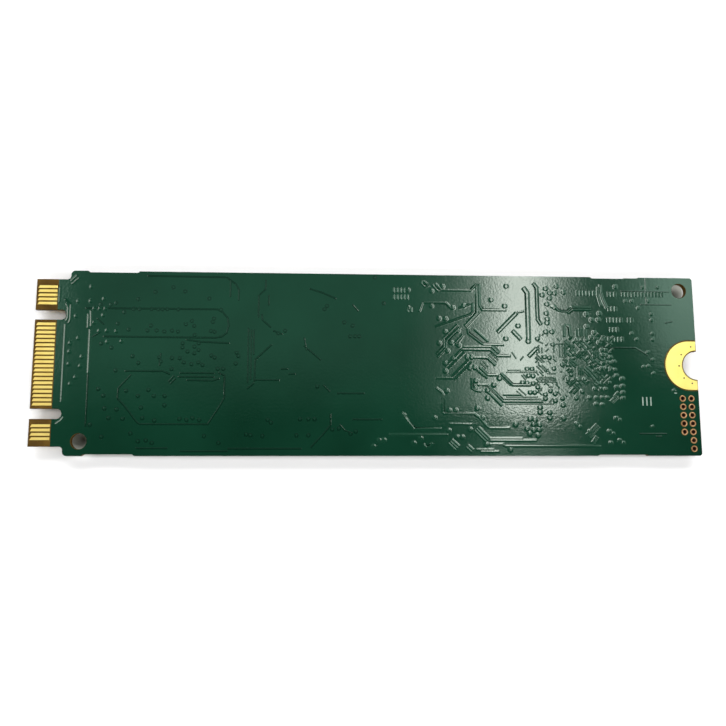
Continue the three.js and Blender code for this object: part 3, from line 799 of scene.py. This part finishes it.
# Rows of plain strokes that stand where the card has etched legends: first x, y, strokes.
STROKE_ROWS = [
    (25.4, 8.95, 6), (29.3, 8.85, 3), (31.1, 8.85, 13), (29.3, 7, 3), (29.1, 5.6, 5), (31.7, 5.6, 2),
    (29.4, 4.4, 3), (28.3, 3.2, 7), (2.6, 9.05, 4), (2.6, 8.2, 5), (4.3, 6.65, 2),
]

# Plain printed bars that stand where the card carries a printed number: x0, y0, x1, y1.
INK_BARS = [
    (32.9, -4.95, 33.05, -3.9), (33.4, -4.95, 33.55, -3.9), (33.9, -4.95, 34.05, -3.9),
    (36.8, -3.15, 37.2, -3.05), (36.95, -3.45, 37.3, -3.35),
]

# Fan-out under the controller: vias, then short straight stubs as x0, y0, x1, y1.
FIELD_VIAS = [
    (20.2, 3.2), (22.05, 2.5), (21, 0.95), (21.6, 0.85), (22.1, -0.45), (23.15, 0), (23.9, 0.05),
    (18.8, -0.55), (19.4, -0.55), (18.95, -1.35), (19.5, -1.4), (18.2, -2.2), (18.75, -2.25),
    (19.5, -2.3), (20.05, -2.75), (19.1, -3.4), (19.65, -3.4), (21.6, -3.2), (22.15, -3.55),
    (20.95, -3.65), (20.95, -4.15), (22.15, -4.4), (23.05, -4.1), (24.75, -4.05), (25.5, -3.25),
    (26.4, -4), (27.25, -4), (28, -4), (28.6, -4), (27.1, -2.95), (27.85, -2.95), (28.45, -2.95),
    (27.2, -4.8), (27.95, -4.85), (29.8, -2.7), (28.9, -2.2), (29.85, -1.3), (29.2, -0.55), (29.65, -0.6),
    (28.05, -0.4), (28.6, -0.4), (28.3, 0.3), (28.75, 0.3), (29.2, 0.25), (29.6, 0.4), (29.2, 0.95),
    (28.15, 1.2), (28.65, 1.2), (28.15, 1.85), (28.6, 1.85), (28.35, 3.15), (27.85, 2.8), (27.3, 3.3),
    (26.3, 3.1), (25.1, 3.1), (24.2, -1.2), (25.9, -1.75), (25.1, -1.8), (23.8, -1.75), (26.9, 3.45),
    (25.45, 2.35), (24.6, 1.5),
]
FIELD_STUBS = [
    (25.15, 3.6, 25.15, 4.3), (25.55, 3.6, 25.55, 4.5), (25.85, 3.6, 25.85, 4.5), (26.2, 3.6, 26.2, 4.4),
    (22.9, 0.9, 22.9, 2.4), (23.25, 0.9, 23.25, 2.4), (23.6, 1, 23.6, 2.4), (27.15, 0.9, 27.15, 1.7),
    (27.45, 0.9, 27.45, 1.7), (27.72, 1, 27.72, 1.6), (20.35, 1.4, 20.35, 2.1), (20.7, 1.4, 20.7, 2.1),
    (22.2, 1.5, 22.2, 2.2), (25.15, -1.2, 25.15, -0.3), (25.45, -1.2, 25.45, -0.3),
    (24.9, 1.1, 25.5, 1.7), (25.05, 0.9, 25.8, 1.65), (25.35, 0.85, 26.1, 1.6), (18, 0.5, 18.4, 1),
    (24.1, 1.7, 24.6, 2.2), (24.2, -2.4, 24.7, -1.9), (24, -3.4, 24.8, -2.6), (24.4, -3.5, 24.9, -3),
    (28.15, -1.95, 28.8, -1.3), (28.3, -2.35, 28.95, -1.7), (29.1, -4.6, 29.9, -3.9),
    (29.3, -4.75, 30.05, -4.05), (29.5, -3.8, 30, -3.3), (20, -3.4, 20.6, -2.85),
    (21.4, -4.6, 21.9, -4.1), (26.6, 0.1, 27, 0.5), (26.1, 0.6, 26.5, 1), (26.9, -0.3, 27.4, 0.15),
    (20, 1.3, 21, 0.3), (19.95, 1, 20.7, 0.25), (20, -0.2, 20.8, -1), (20.35, -0.1, 21.2, -0.95),
    (20.7, -0.1, 21.4, -0.8), (24.3, 0.7, 25, 0), (24.1, 0.45, 24.8, -0.3), (25.6, 1, 26.2, 0.4),
    (25.9, -0.5, 26.6, -1.15), (26.2, -0.3, 26.9, -0.95), (26.5, -1.1, 27.1, -1.9),
    (26.8, -0.9, 27.4, -1.6), (27.1, -0.5, 27.7, -1.1), (18.1, -1.3, 18.6, -1.9),
    (18.35, -1.2, 18.75, -1.7), (22.6, 3.25, 23, 2.9), (19.9, -0.9, 20.2, -1.3), (17, 1.5, 17.5, 0.7),
    (26, 2.75, 26.4, 2.3), (24.9, 2.75, 25.4, 2.2), (22.5, -3.3, 22.9, -3.75), (26.6, 1.9, 26.9, 1.4),
    (27.3, -2.1, 27.9, -2.4), (16.4, -0.7, 18, -0.7), (16.2, -0.95, 20, -0.95), (20.3, -1.55, 22, -1.55),
    (20, -1.82, 22, -1.82), (20.2, -2.12, 22.3, -2.12), (16.2, -3.95, 20, -3.95), (16, -4.2, 20.4, -4.2),
    (16, -4.78, 22, -4.78), (21.3, -1.1, 22.3, -1.1), (22.5, 2.55, 24.2, 2.55), (20, 3, 20.9, 2.6),
    (21.2, 2.3, 21.5, 2.6),
]


def add_film(bm, low, high, bevel):
    """The flat part of a mask, open over the tongue, the screw pad and the holes."""
    holes = card_holes(TEST_WINDOW, TOOLING_RADIUS + HOLE_MARGIN)
    add_plate(bm, card_outline(MASK_LOW.x, pad_window()), holes, low, high, bevel, FILM)


def make_bare_mask():
    """The mask over the bare face. Its relief is bold near the controller and faint over the flash memory."""
    bm = bmesh.new()
    film_top = BOARD_TOP - COPPER_RISE
    add_film(bm, MASK_LOW.z, film_top, bevel=0.008)
    bold = Relief(bm, film_top, FACE_UP, RAISED, RAISED)
    faint = Relief(bm, film_top, FACE_UP, FAINT, RAISED)
    bold.traces(CONNECTOR_ROUTES, slope=EDGE_SLOPE)
    bold.traces(BUFFER_ROUTES)
    bold.traces(CONTROLLER_ROUTES)
    faint.traces(FLASH_ROUTES, FAINT_RISE, FAINT_SLOPE)
    for count, spacing, line in BUNDLES:
        bold.bundle(pairs(line), count, spacing)
    bold.vias(CONNECTOR_VIAS, radius=0.24)
    faint.vias(FLASH_VIAS, radius=0.2, rise=0.24)
    bold.vias(BUFFER_VIAS, radius=0.3)
    bold.vias([via for via in CONTROLLER_VIAS if via[0] < OUTER_VIA_X], radius=0.3)
    bold.vias([via for via in CONTROLLER_VIAS if via[0] >= OUTER_VIA_X], radius=0.22)
    bold.vias(FIELD_VIAS, radius=0.26)
    for line in FIELD_STUBS:
        bold.fine(pairs(line))
    bold.loose_stubs((23.0, -2.6), (29.4, 3.4), 90, random.Random(22))
    bold.loose_stubs((19.8, -3.8), (23.4, 3.8), 44, random.Random(11))
    for x, y, count in STROKE_ROWS:
        bold.tick_row(x, y, count)
    for bar in INK_BARS:
        add_plate(bm, rectangle(*bar), [], film_top - 0.01, film_top + 0.008, 0.006, PRINTED)
    materials = [MASK, MASK_ON_COPPER, MASK_OFF_COPPER, INK]
    finish_piece("mask_bare", bm, materials, "solder_mask_bare_side")


def make_under_mask():
    """The mask over the component face, with a strip of small vias along both long edges."""
    bm = bmesh.new()
    film = BOARD_UNDER + COPPER_RISE
    add_film(bm, film, UNDER_HIGH.z, bevel=0.012)
    relief = Relief(bm, film, FACE_DOWN, RAISED, RAISED)
    relief.traces(UNDER_ROUTES)
    rng = random.Random(80)
    vias = [(rng.uniform(-31, 37), rng.choice((-1, 1)) * rng.uniform(9.7, 10.5)) for _ in range(70)]
    relief.vias(vias, radius=0.2, rise=0.09)
    finish_piece("mask_component", bm, [MASK, MASK_ON_COPPER], "solder_mask_component_side")


# ---- card body and plating ----

TIP_BEVEL_LENGTH = 0.12
TIP_BEVEL_DEPTH = 0.14

# Contacts are numbered along the edge, odd and even on opposite faces, in half steps of the pitch.
CONTACT_STEP = 0.25
MIDDLE_CONTACT = 38
CONTACT_ROWS = {
    "contacts_bare_b_end": range(2, 11, 2),
    "contacts_bare_middle": range(20, 59, 2),
    "contacts_bare_m_end": range(68, 75, 2),
    "contacts_component_b_end": range(1, 12, 2),
    "contacts_component_middle": range(21, 58, 2),
    "contacts_component_m_end": range(67, 76, 2),
}
FINGER_HALF = 0.165
FINGER_TIP_X = TIP_X + 0.25
FINGER_END_X = TIP_X + 2.5
FINGER_SLANT = 0.16

PAD_VIAS = ((39.35, 2.33), (38.1, 1.35), (37.75, -0.05), (38.3, -1.55), (39.28, -2.2))
PAD_VIA_RADIUS = 0.1
PAD_VIA_DEPTH = 0.03

RING_IN = 0.25
RING_OUT = 0.37
SHADE_PLUG_LIFT = 0.01
SHADE_PLUG_HEIGHT = 0.04


def make_laminate():
    bm = bmesh.new()
    holes = card_holes(TEST_DRILL + HOLE_MARGIN, TOOLING_RADIUS)
    add_plate(bm, card_outline(TIP_X, screw_notch()), holes, CARD_LOW.z, CARD_HIGH.z, bevel=0.015)
    cut_x = (TIP_X + TIP_BEVEL_LENGTH) * MM
    geometry = bm.verts[:] + bm.edges[:] + bm.faces[:]
    bmesh.ops.bisect_plane(bm, geom=geometry, plane_co=(cut_x, 0, 0), plane_no=(1, 0, 0))
    middle = (CARD_LOW.z + CARD_HIGH.z) / 2 * MM
    for vert in bm.verts:
        share = (cut_x - vert.co.x) / (TIP_BEVEL_LENGTH * MM)
        if share > 0:
            vert.co.z += math.copysign(TIP_BEVEL_DEPTH * MM * min(share, 1.0), middle - vert.co.z)
    finish_piece("laminate", bm, [LAMINATE], "pcb_laminate")


def contact_outline(y):
    """One finger: a long pad with a slanted tip and a square inner end."""
    corners = rectangle(FINGER_TIP_X, y - FINGER_HALF, FINGER_END_X, y + FINGER_HALF)
    corners[3] = (FINGER_TIP_X + FINGER_SLANT, y + FINGER_HALF)
    return rounded(corners, 0.03, 2)


def make_contacts():
    for node, numbers in CONTACT_ROWS.items():
        bm, low, high = start_piece(node)
        for number in numbers:
            add_plate(bm, contact_outline((MIDDLE_CONTACT - number) * CONTACT_STEP), [], low.z, high.z)
        finish_piece(node.replace("contacts", "gold_fingers"), bm, [GOLD], node)


def pad_outline():
    outer = PAD_RADIUS - 0.05
    edge_x = END_X - 0.06
    inner_arc = arc(END_X, 0, SCREW_RADIUS + 0.14, 268, 92, 5)
    outer_arc = arc(PAD_CENTRE_X, 0, outer, 90, 270, 5)
    return inner_arc + [(edge_x, outer)] + outer_arc + [(edge_x, -outer)]


def make_screw_pads():
    for node in ("screw_pad_bare_side", "screw_pad_component_side"):
        bm, low, high = start_piece(node)
        facing, outer_z = (FACE_UP, high.z) if low.z > CARD_LOW.z else (FACE_DOWN, low.z)
        floor_z = outer_z - facing * PAD_VIA_DEPTH
        holes = [circle(x, y, PAD_VIA_RADIUS, 16) for x, y in PAD_VIAS]
        add_plate(bm, pad_outline(), holes, low.z, high.z, bevel=0.015)
        for x, y in PAD_VIAS:
            add_lathe(bm, x, y, [(PAD_VIA_RADIUS + 0.01, floor_z), (0, floor_z - facing * 0.005)], 16, 1)
        finish_piece(node.replace("screw_pad", "gold_pad"), bm, [GOLD, DULL_BARREL_AND_SHADE], node)


def make_test_ring(number, x, y):
    """A plated hole with rounded rims. A thin dark plug near its lower end is painted shade, standing in for
    the shadow down the open hole.
    """
    node = f"test_hole_lining_{number:02d}"
    bm, low, high = start_piece(node)
    top, bottom = high.z, low.z
    shade_plug_radius = RING_IN + SHADE_PLUG_LIFT
    shade_plug_low = bottom + SHADE_PLUG_LIFT
    shade_plug_high = shade_plug_low + SHADE_PLUG_HEIGHT
    ring = [
        (TEST_DRILL, CARD_LOW.z), (RING_OUT, CARD_LOW.z),
        (RING_OUT, bottom + 0.015), (RING_OUT - 0.02, bottom),
        (RING_IN + 0.03, bottom), (RING_IN, bottom + 0.03),
        (RING_IN, top - 0.03), (RING_IN + 0.03, top),
        (RING_OUT - 0.02, top), (RING_OUT, top - 0.015),
        (RING_OUT, CARD_HIGH.z), (TEST_DRILL, CARD_HIGH.z),
    ]
    add_lathe(bm, x, y, ring, closed=True)
    # Painted shade: a dark disc across the open hole, in place of the shadow down it.
    add_lathe(bm, x, y, [(0, shade_plug_low), (shade_plug_radius, shade_plug_low), (shade_plug_radius, shade_plug_high), (0, shade_plug_high)])
    for face in bm.faces:
        centre = face.calc_center_median() / MM
        if (centre.xy - Vector((x, y))).length < shade_plug_radius:
            face.material_index = 1
    finish_piece(f"test_ring_{number:02d}", bm, [COPPER, DULL_BARREL_AND_SHADE], node)


# ---- parts under the card ----

BALL_HEIGHT = 0.22
SUBSTRATE_HEIGHT = 0.26
BALL_MARGIN = 0.5
CAP_INSET = 0.05
LAND_PITCH = 0.5
LAND_HALF = 0.12
LEADLESS_INSET = 0.06
END_CAP_SHARE = 0.24
FILLET_SPREAD = 0.18
FILLET_STEPS = 4
CAN_INSET = 0.15


def make_ball_package(node, pitch):
    """A moulded cap on a substrate, over the two outer rows of its solder balls."""
    bm, low, high = start_piece(node)
    ball_low = high.z - BALL_HEIGHT
    cap_high = ball_low - SUBSTRATE_HEIGHT
    add_block(bm, (low.x, low.y, cap_high), (high.x, high.y, ball_low), 0.015, 1)
    cap_low = (low.x + CAP_INSET, low.y + CAP_INSET, low.z)
    add_block(bm, cap_low, (high.x - CAP_INSET, high.y - CAP_INSET, cap_high + 0.01), 0.05)
    columns = int((high.x - low.x - 2 * BALL_MARGIN) / pitch)
    rows = int((high.y - low.y - 2 * BALL_MARGIN) / pitch)
    start_x = (low.x + high.x - columns * pitch) / 2
    start_y = (low.y + high.y - rows * pitch) / 2
    middle = high.z - BALL_HEIGHT / 2
    ball = [(0.13, high.z), (0.2, middle + 0.05), (0.22, middle), (0.2, middle - 0.05), (0.14, ball_low)]
    for column in range(columns + 1):
        for row in range(rows + 1):
            if min(column, columns - column, row, rows - row) <= 1:
                add_lathe(bm, start_x + column * pitch, start_y + row * pitch, ball, 10, 2)
    add_pin_mark(bm, low.x + 1.0, high.y - 1.0, low.z, 0.35)
    finish_piece(node.replace("package", "chip"), bm, [MOULD, SUBSTRATE, TIN], node)


def add_pin_mark(bm, x, y, z, radius):
    """A shallow round rim that marks the first terminal."""
    profile = [(radius, z + 0.01), (radius, z - 0.004), (radius - 0.05, z - 0.006), (radius - 0.1, z + 0.01)]
    add_lathe(bm, x, y, profile)


def make_leadless_chip(node, lands):
    bm, low, high = start_piece(node)
    inset = Vector((LEADLESS_INSET, LEADLESS_INSET, 0))
    body_low, body_high = low + inset, high - inset
    centre = (body_low + body_high) / 2
    add_block(bm, body_low, (body_high.x, body_high.y, high.z - 0.02))
    for index in range(lands):
        along = (index - (lands - 1) / 2) * LAND_PITCH
        for side in (-1, 1):
            for axis in (0, 1):
                land_low = Vector((0, 0, high.z - 0.2))
                land_high = Vector((0, 0, high.z))
                edge = centre[axis] + side * (body_high[axis] - centre[axis])
                land_low[axis], land_high[axis] = edge - 0.1, edge + 0.05
                land_low[1 - axis] = centre[1 - axis] + along - LAND_HALF
                land_high[1 - axis] = centre[1 - axis] + along + LAND_HALF
                add_block(bm, land_low, land_high, 0.02, 1)
    add_pin_mark(bm, body_low.x + 0.45, body_high.y - 0.45, low.z, 0.2)
    finish_piece(node.replace("_chip", "_ic"), bm, [MOULD, TIN], node)


def add_solder_fillets(bm, low, high, axis):
    """Concave solder wedges where a part's two metal ends meet the card."""
    rise = (high.z - low.z) * 0.5
    for end, side in ((low, -1), (high, 1)):
        rows = []
        for step in range(FILLET_STEPS + 1):
            t = step / FILLET_STEPS
            out = FILLET_SPREAD * (1 - t) ** 2
            spots = []
            for across in (low[1 - axis] - out * 0.4, high[1 - axis] + out * 0.4):
                spot = [across, across]
                spot[axis] = end[axis] + side * out
                spots.append(spot)
            rows.append(add_ring(bm, spots, high.z - rise * t))
        add_skin(bm, rows, 1, closed=False, flip=(side > 0) == (axis == 1))


def make_chip_part(node, name, body, slot, sink):
    """A two-terminal part: a body held between two rounded metal ends."""
    bm, low, high = start_piece(node)
    axis = 0 if high.x - low.x > high.y - low.y else 1
    length = high[axis] - low[axis]
    cap = length * END_CAP_SHARE
    spans = ((cap * 0.7, length - cap * 0.7, sink, 0), (0, cap, 0, 1), (length - cap, length, 0, 1))
    for start, end, inset, material in spans:
        block_low = low + Vector((inset, inset, inset))
        block_high = high - Vector((inset, inset, 0))
        block_low[axis], block_high[axis] = low[axis] + start, low[axis] + end
        add_block(bm, block_low, block_high, 0.045, material)
    add_solder_fillets(bm, low, high, axis)
    finish_piece(name, bm, [body, TIN], node)


def add_end_tabs(bm, low, high, length, half_width, height):
    """Two plated terminals at a part's ends, with their solder."""
    middle = (low.y + high.y) / 2
    for x0, x1 in ((low.x, low.x + length), (high.x - length, high.x)):
        add_block(bm, (x0, middle - half_width, high.z - height), (x1, middle + half_width, high.z), 0.03, 1)
    add_solder_fillets(bm, low, high, 0)


def make_inductor(number):
    node = f"power_inductor_{number}"
    bm, low, high = start_piece(node)
    outline = rounded(rectangle(low.x + 0.08, low.y, high.x - 0.08, high.y), 0.35, 4)
    add_plate(bm, outline, [], low.z, high.z - 0.05, 0.06)
    x, y = (low.x + high.x) / 2, (low.y + high.y) / 2
    rim = [(1.05, low.z + 0.01), (1.05, low.z - 0.004), (0.98, low.z - 0.006), (0.9, low.z + 0.01)]
    add_lathe(bm, x, y, rim, 40)
    add_end_tabs(bm, low, high, length=0.4, half_width=1.0, height=0.7)
    finish_piece(f"inductor_{number}", bm, [FERRITE, TIN], node)


def make_bulk_capacitor(number):
    node = f"bulk_capacitor_{number}"
    bm, low, high = start_piece(node)
    add_block(bm, (low.x + 0.08, low.y, low.z), (high.x - 0.08, high.y, high.z - 0.04), 0.07)
    add_end_tabs(bm, low, high, length=0.7, half_width=1.1, height=0.5)
    stripe_low = (high.x - 0.75, low.y + 0.1, low.z - 0.004)
    add_block(bm, stripe_low, (high.x - 0.3, high.y - 0.1, low.z + 0.02), 0.008, 2)
    finish_piece(f"polymer_capacitor_{number}", bm, [RESIN, TIN, WHITE_CERAMIC], node)


def make_crystal():
    bm, low, high = start_piece("crystal_can")
    add_block(bm, (low.x, low.y, high.z - 0.45), high, 0.03, 1)
    lid = rectangle(low.x + CAN_INSET, low.y + CAN_INSET, high.x - CAN_INSET, high.y - CAN_INSET)
    add_plate(bm, rounded(lid, 0.3, 4), [], low.z, high.z - 0.44, 0.05)
    finish_piece("crystal", bm, [LID, WHITE_CERAMIC], "crystal_can")


def make_label():
    bm, low, high = start_piece("product_label")
    add_plate(bm, rounded(rectangle(low.x, low.y, high.x, high.y), 0.8, 8), [], low.z, high.z)
    finish_piece("label", bm, [LABEL], "product_label")


# ---- stage, lights and camera ----

CAMERA_X = -5.667
CAMERA_Y = -11.293
CAMERA_HEIGHT = 85.55
CAMERA_LENS = 35.71
CAMERA_TURN = (7.5605, -3.0053, 0.3565)

FLOOR_HALF = 600
FLOOR_DROP = 0.02
# Painted shadow: the floor's colour where the card lies over it, so the floor seen through the holes looks
# shaded.
FLOOR_PAINTED_SHADOW = (0.40, 0.41, 0.36)
FLOOR_WHITE = (0.98, 0.98, 0.98)
SHADE_INSET = 0.4
SHADE_FADE = 0.6
GLOW_REACH = (160, 420)
GLOW_STRENGTH = 0.9
SKY_RADIUS = 2.0

# Fills light the card evenly: name, place, then width and length, and brightness.
FILLS = [
    ("back_fill", (0, 400, 470), (700, 190), 6.6),
    ("front_fill", (0, -400, 470), (700, 190), 4.7),
    ("left_fill", (-420, 0, 470), (190, 500), 4.9),
    ("right_fill", (420, 0, 470), (190, 500), 4.9),
]

# The window is a stack of panes, so its image fades out sideways, and patches lie around it.
# Each row: the stretch of the card its image covers, along X and Y, then its brightness.
WINDOW_PANES = [
    ((16, 20.5), (-6, 90), 5.2), ((14.7, 21.7), (-6, 90), 4.8), ((13, 24), (-5.95, 80), 2.8),
    ((10, 24.8), (-5.85, 70), 1.4), ((6, 28), (-6.1, 50), 0.8), ((18.5, 24), (-6.3, -4.2), 2.4),
    ((19.5, 24.6), (-6.2, 4.4), 1.3), ((14.5, 22.8), (-10.1, -9.4), 5.5),
    ((12.5, 23.8), (-11.5, -9.2), 0.9), ((8.5, 27), (-11.5, -9), 0.6), ((29, 60), (6.5, 60), 0.85),
    ((32, 60), (1.5, 60), 0.8), ((34, 60), (0, 60), 0.9), ((35.5, 60), (-1.5, 60), 0.6),
    ((36, 60), (0.5, 60), 0.9),
]
CEILING_PANES = [
    ((-42, 5.5), (-5, 22), 0.24), ((-42, 7), (-1, 24), 0.24), ((-46, -37.5), (-6, 24), 0.4),
    ((-46, -37.5), (-1, 24), 1.1), ((-46, -38), (5.5, 24), 0.8), ((-95, -56), (-5, 45), 6),
    ((60, 85), (-16, 24), 1.2),
]
PANE_HEIGHT = 300
PANE_STEP = 3
WHITE_RADIANCE = 1.6
DIM_TINT = (0.4, 1.0, 0.74)
BRIGHT_TINT = (0.95, 1.0, 0.915)
AMBIENT = 0.02


def make_floor():
    """A pale floor, darkened by a painted shadow where the card lies over it, that glows a little far away
    from it.
    """
    bm = bmesh.new()
    bm.faces.new(add_ring(bm, rectangle(-FLOOR_HALF, -FLOOR_HALF, FLOOR_HALF, FLOOR_HALF), -FLOOR_DROP))
    n = Nodes("pale_floor_with_painted_shadow")
    x, y = n.axes()
    to_screw = n.distance(n.math("SUBTRACT", END_X, x), y)
    beyond_end = n.math("SUBTRACT", n.math("ABSOLUTE", x), END_X)
    beyond = n.math("MAXIMUM", beyond_end, n.math("SUBTRACT", n.math("ABSOLUTE", y), HALF_WIDTH))
    beyond = n.math("MAXIMUM", beyond, n.math("SUBTRACT", SHOULDER_X, x))
    beyond = n.math("MAXIMUM", beyond, n.math("SUBTRACT", SCREW_RADIUS + SHADE_INSET, to_screw))
    beyond = n.math("ADD", beyond, SHADE_INSET)
    glow = n.spread(n.distance(x, y), GLOW_REACH, (0.0, GLOW_STRENGTH))
    # Painted shadow: the floor is darker under the card and fades to white just past its edges, except around
    # the screw notch.
    n.set(Base_Color=n.ramp(beyond, {0.0: FLOOR_PAINTED_SHADOW, SHADE_FADE: FLOOR_WHITE}))
    n.set(Roughness=0.9, Specular_IOR_Level=0.1, Emission_Color=(1, 1, 1, 1), Emission_Strength=glow)
    make_object("floor", bm, [n.material])


def make_sky():
    """An even white surround. Only the camera sees it, so it adds no light."""
    bm = bmesh.new()
    bmesh.ops.create_uvsphere(bm, u_segments=48, v_segments=24, radius=SKY_RADIUS)
    n = Nodes("white_sky")
    n.set(Base_Color=(0, 0, 0, 1), Emission_Color=(1, 1, 1, 1), Emission_Strength=1.0, Specular_IOR_Level=0.0)
    sky = make_object("sky", bm, [n.material])
    for rays in ("diffuse", "glossy", "transmission", "shadow"):
        setattr(sky, f"visible_{rays}", False)


def area_light(name, place, target, size, radiance, tint=None):
    """A rectangular soft light of even brightness. With a tint it is seen only in reflections."""
    data = bpy.data.lights.new(name, "AREA")
    data.shape = "RECTANGLE"
    data.size, data.size_y = size[0] * MM, size[1] * MM
    data.energy = radiance * math.pi * data.size * data.size_y
    data.color = tint or (1, 1, 1)
    light = bpy.data.objects.new(name, data)
    light.location = Vector(place) * MM
    light.rotation_euler = (Vector(target) - Vector(place)).to_track_quat("-Z", "Y").to_euler()
    light.visible_camera = False
    light.visible_glossy = tint is not None
    light.visible_diffuse = tint is None
    bpy.context.scene.collection.objects.link(light)


def mirrored_pane(name, height, x_range, y_range, radiance):
    """A level pane overhead whose mirror image falls on the given stretch of the card."""
    reach = height / CAMERA_HEIGHT
    x0, x1 = (x + (x - CAMERA_X) * reach for x in x_range)
    y0, y1 = (y + (y - CAMERA_Y) * reach for y in y_range)
    place = ((x0 + x1) / 2, (y0 + y1) / 2, BOARD_TOP + height)
    whiteness = min(radiance / WHITE_RADIANCE, 1.0)
    tint = Vector(DIM_TINT).lerp(Vector(BRIGHT_TINT), whiteness)
    area_light(name, place, (place[0], place[1], 0), (x1 - x0, y1 - y0), radiance, tint)


def make_lights():
    world = bpy.data.worlds.new("studio")
    world.use_nodes = True
    background = world.node_tree.nodes["Background"]
    background.inputs["Color"].default_value = (1, 1, 1, 1)
    background.inputs["Strength"].default_value = AMBIENT
    bpy.context.scene.world = world
    for name, place, size, radiance in FILLS:
        area_light(name, place, (0, 0, 0), size, radiance)
    for index, (x_range, y_range, radiance) in enumerate(WINDOW_PANES + CEILING_PANES):
        mirrored_pane(f"pane_{index + 1}", PANE_HEIGHT + index * PANE_STEP, x_range, y_range, radiance)


def make_camera():
    data = bpy.data.cameras.new("camera")
    data.lens = CAMERA_LENS
    data.sensor_width = 36.0
    data.clip_start = 0.005
    camera = bpy.data.objects.new("camera", data)
    camera.location = (CAMERA_X * MM, CAMERA_Y * MM, (BOARD_TOP + CAMERA_HEIGHT) * MM)
    camera.rotation_mode = "ZYX"
    camera.rotation_euler = [math.radians(angle) for angle in CAMERA_TURN]
    bpy.context.scene.collection.objects.link(camera)
    bpy.context.scene.camera = camera


make_camera()
make_lights()
make_floor()
make_sky()
bpy.context.scene.view_settings.view_transform = "Standard"

make_laminate()
make_bare_mask()
make_under_mask()
make_contacts()
make_screw_pads()
for index, (x, y) in enumerate(test_holes()):
    make_test_ring(index + 1, x, y)
make_ball_package("controller_package", 0.8)
make_ball_package("buffer_memory_package", 0.8)
make_ball_package("flash_package_1", 1.0)
make_ball_package("flash_package_2", 1.0)
make_leadless_chip("power_management_chip", 6)
make_leadless_chip("load_switch_chip", 4)
for number in range(1, 17):
    names = (f"ceramic_capacitor_{number:02d}", f"multilayer_capacitor_{number:02d}")
    make_chip_part(*names, TAN_CERAMIC, "capacitor_ceramic", sink=0.02)
for number in range(1, 5):
    names = (f"chip_resistor_{number:02d}", f"film_resistor_{number:02d}")
    make_chip_part(*names, OVERCOAT, "resistor_body", sink=0.03)
for number in range(1, 4):
    make_inductor(number)
for number in range(1, 4):
    make_bulk_capacitor(number)
make_crystal()
make_label()
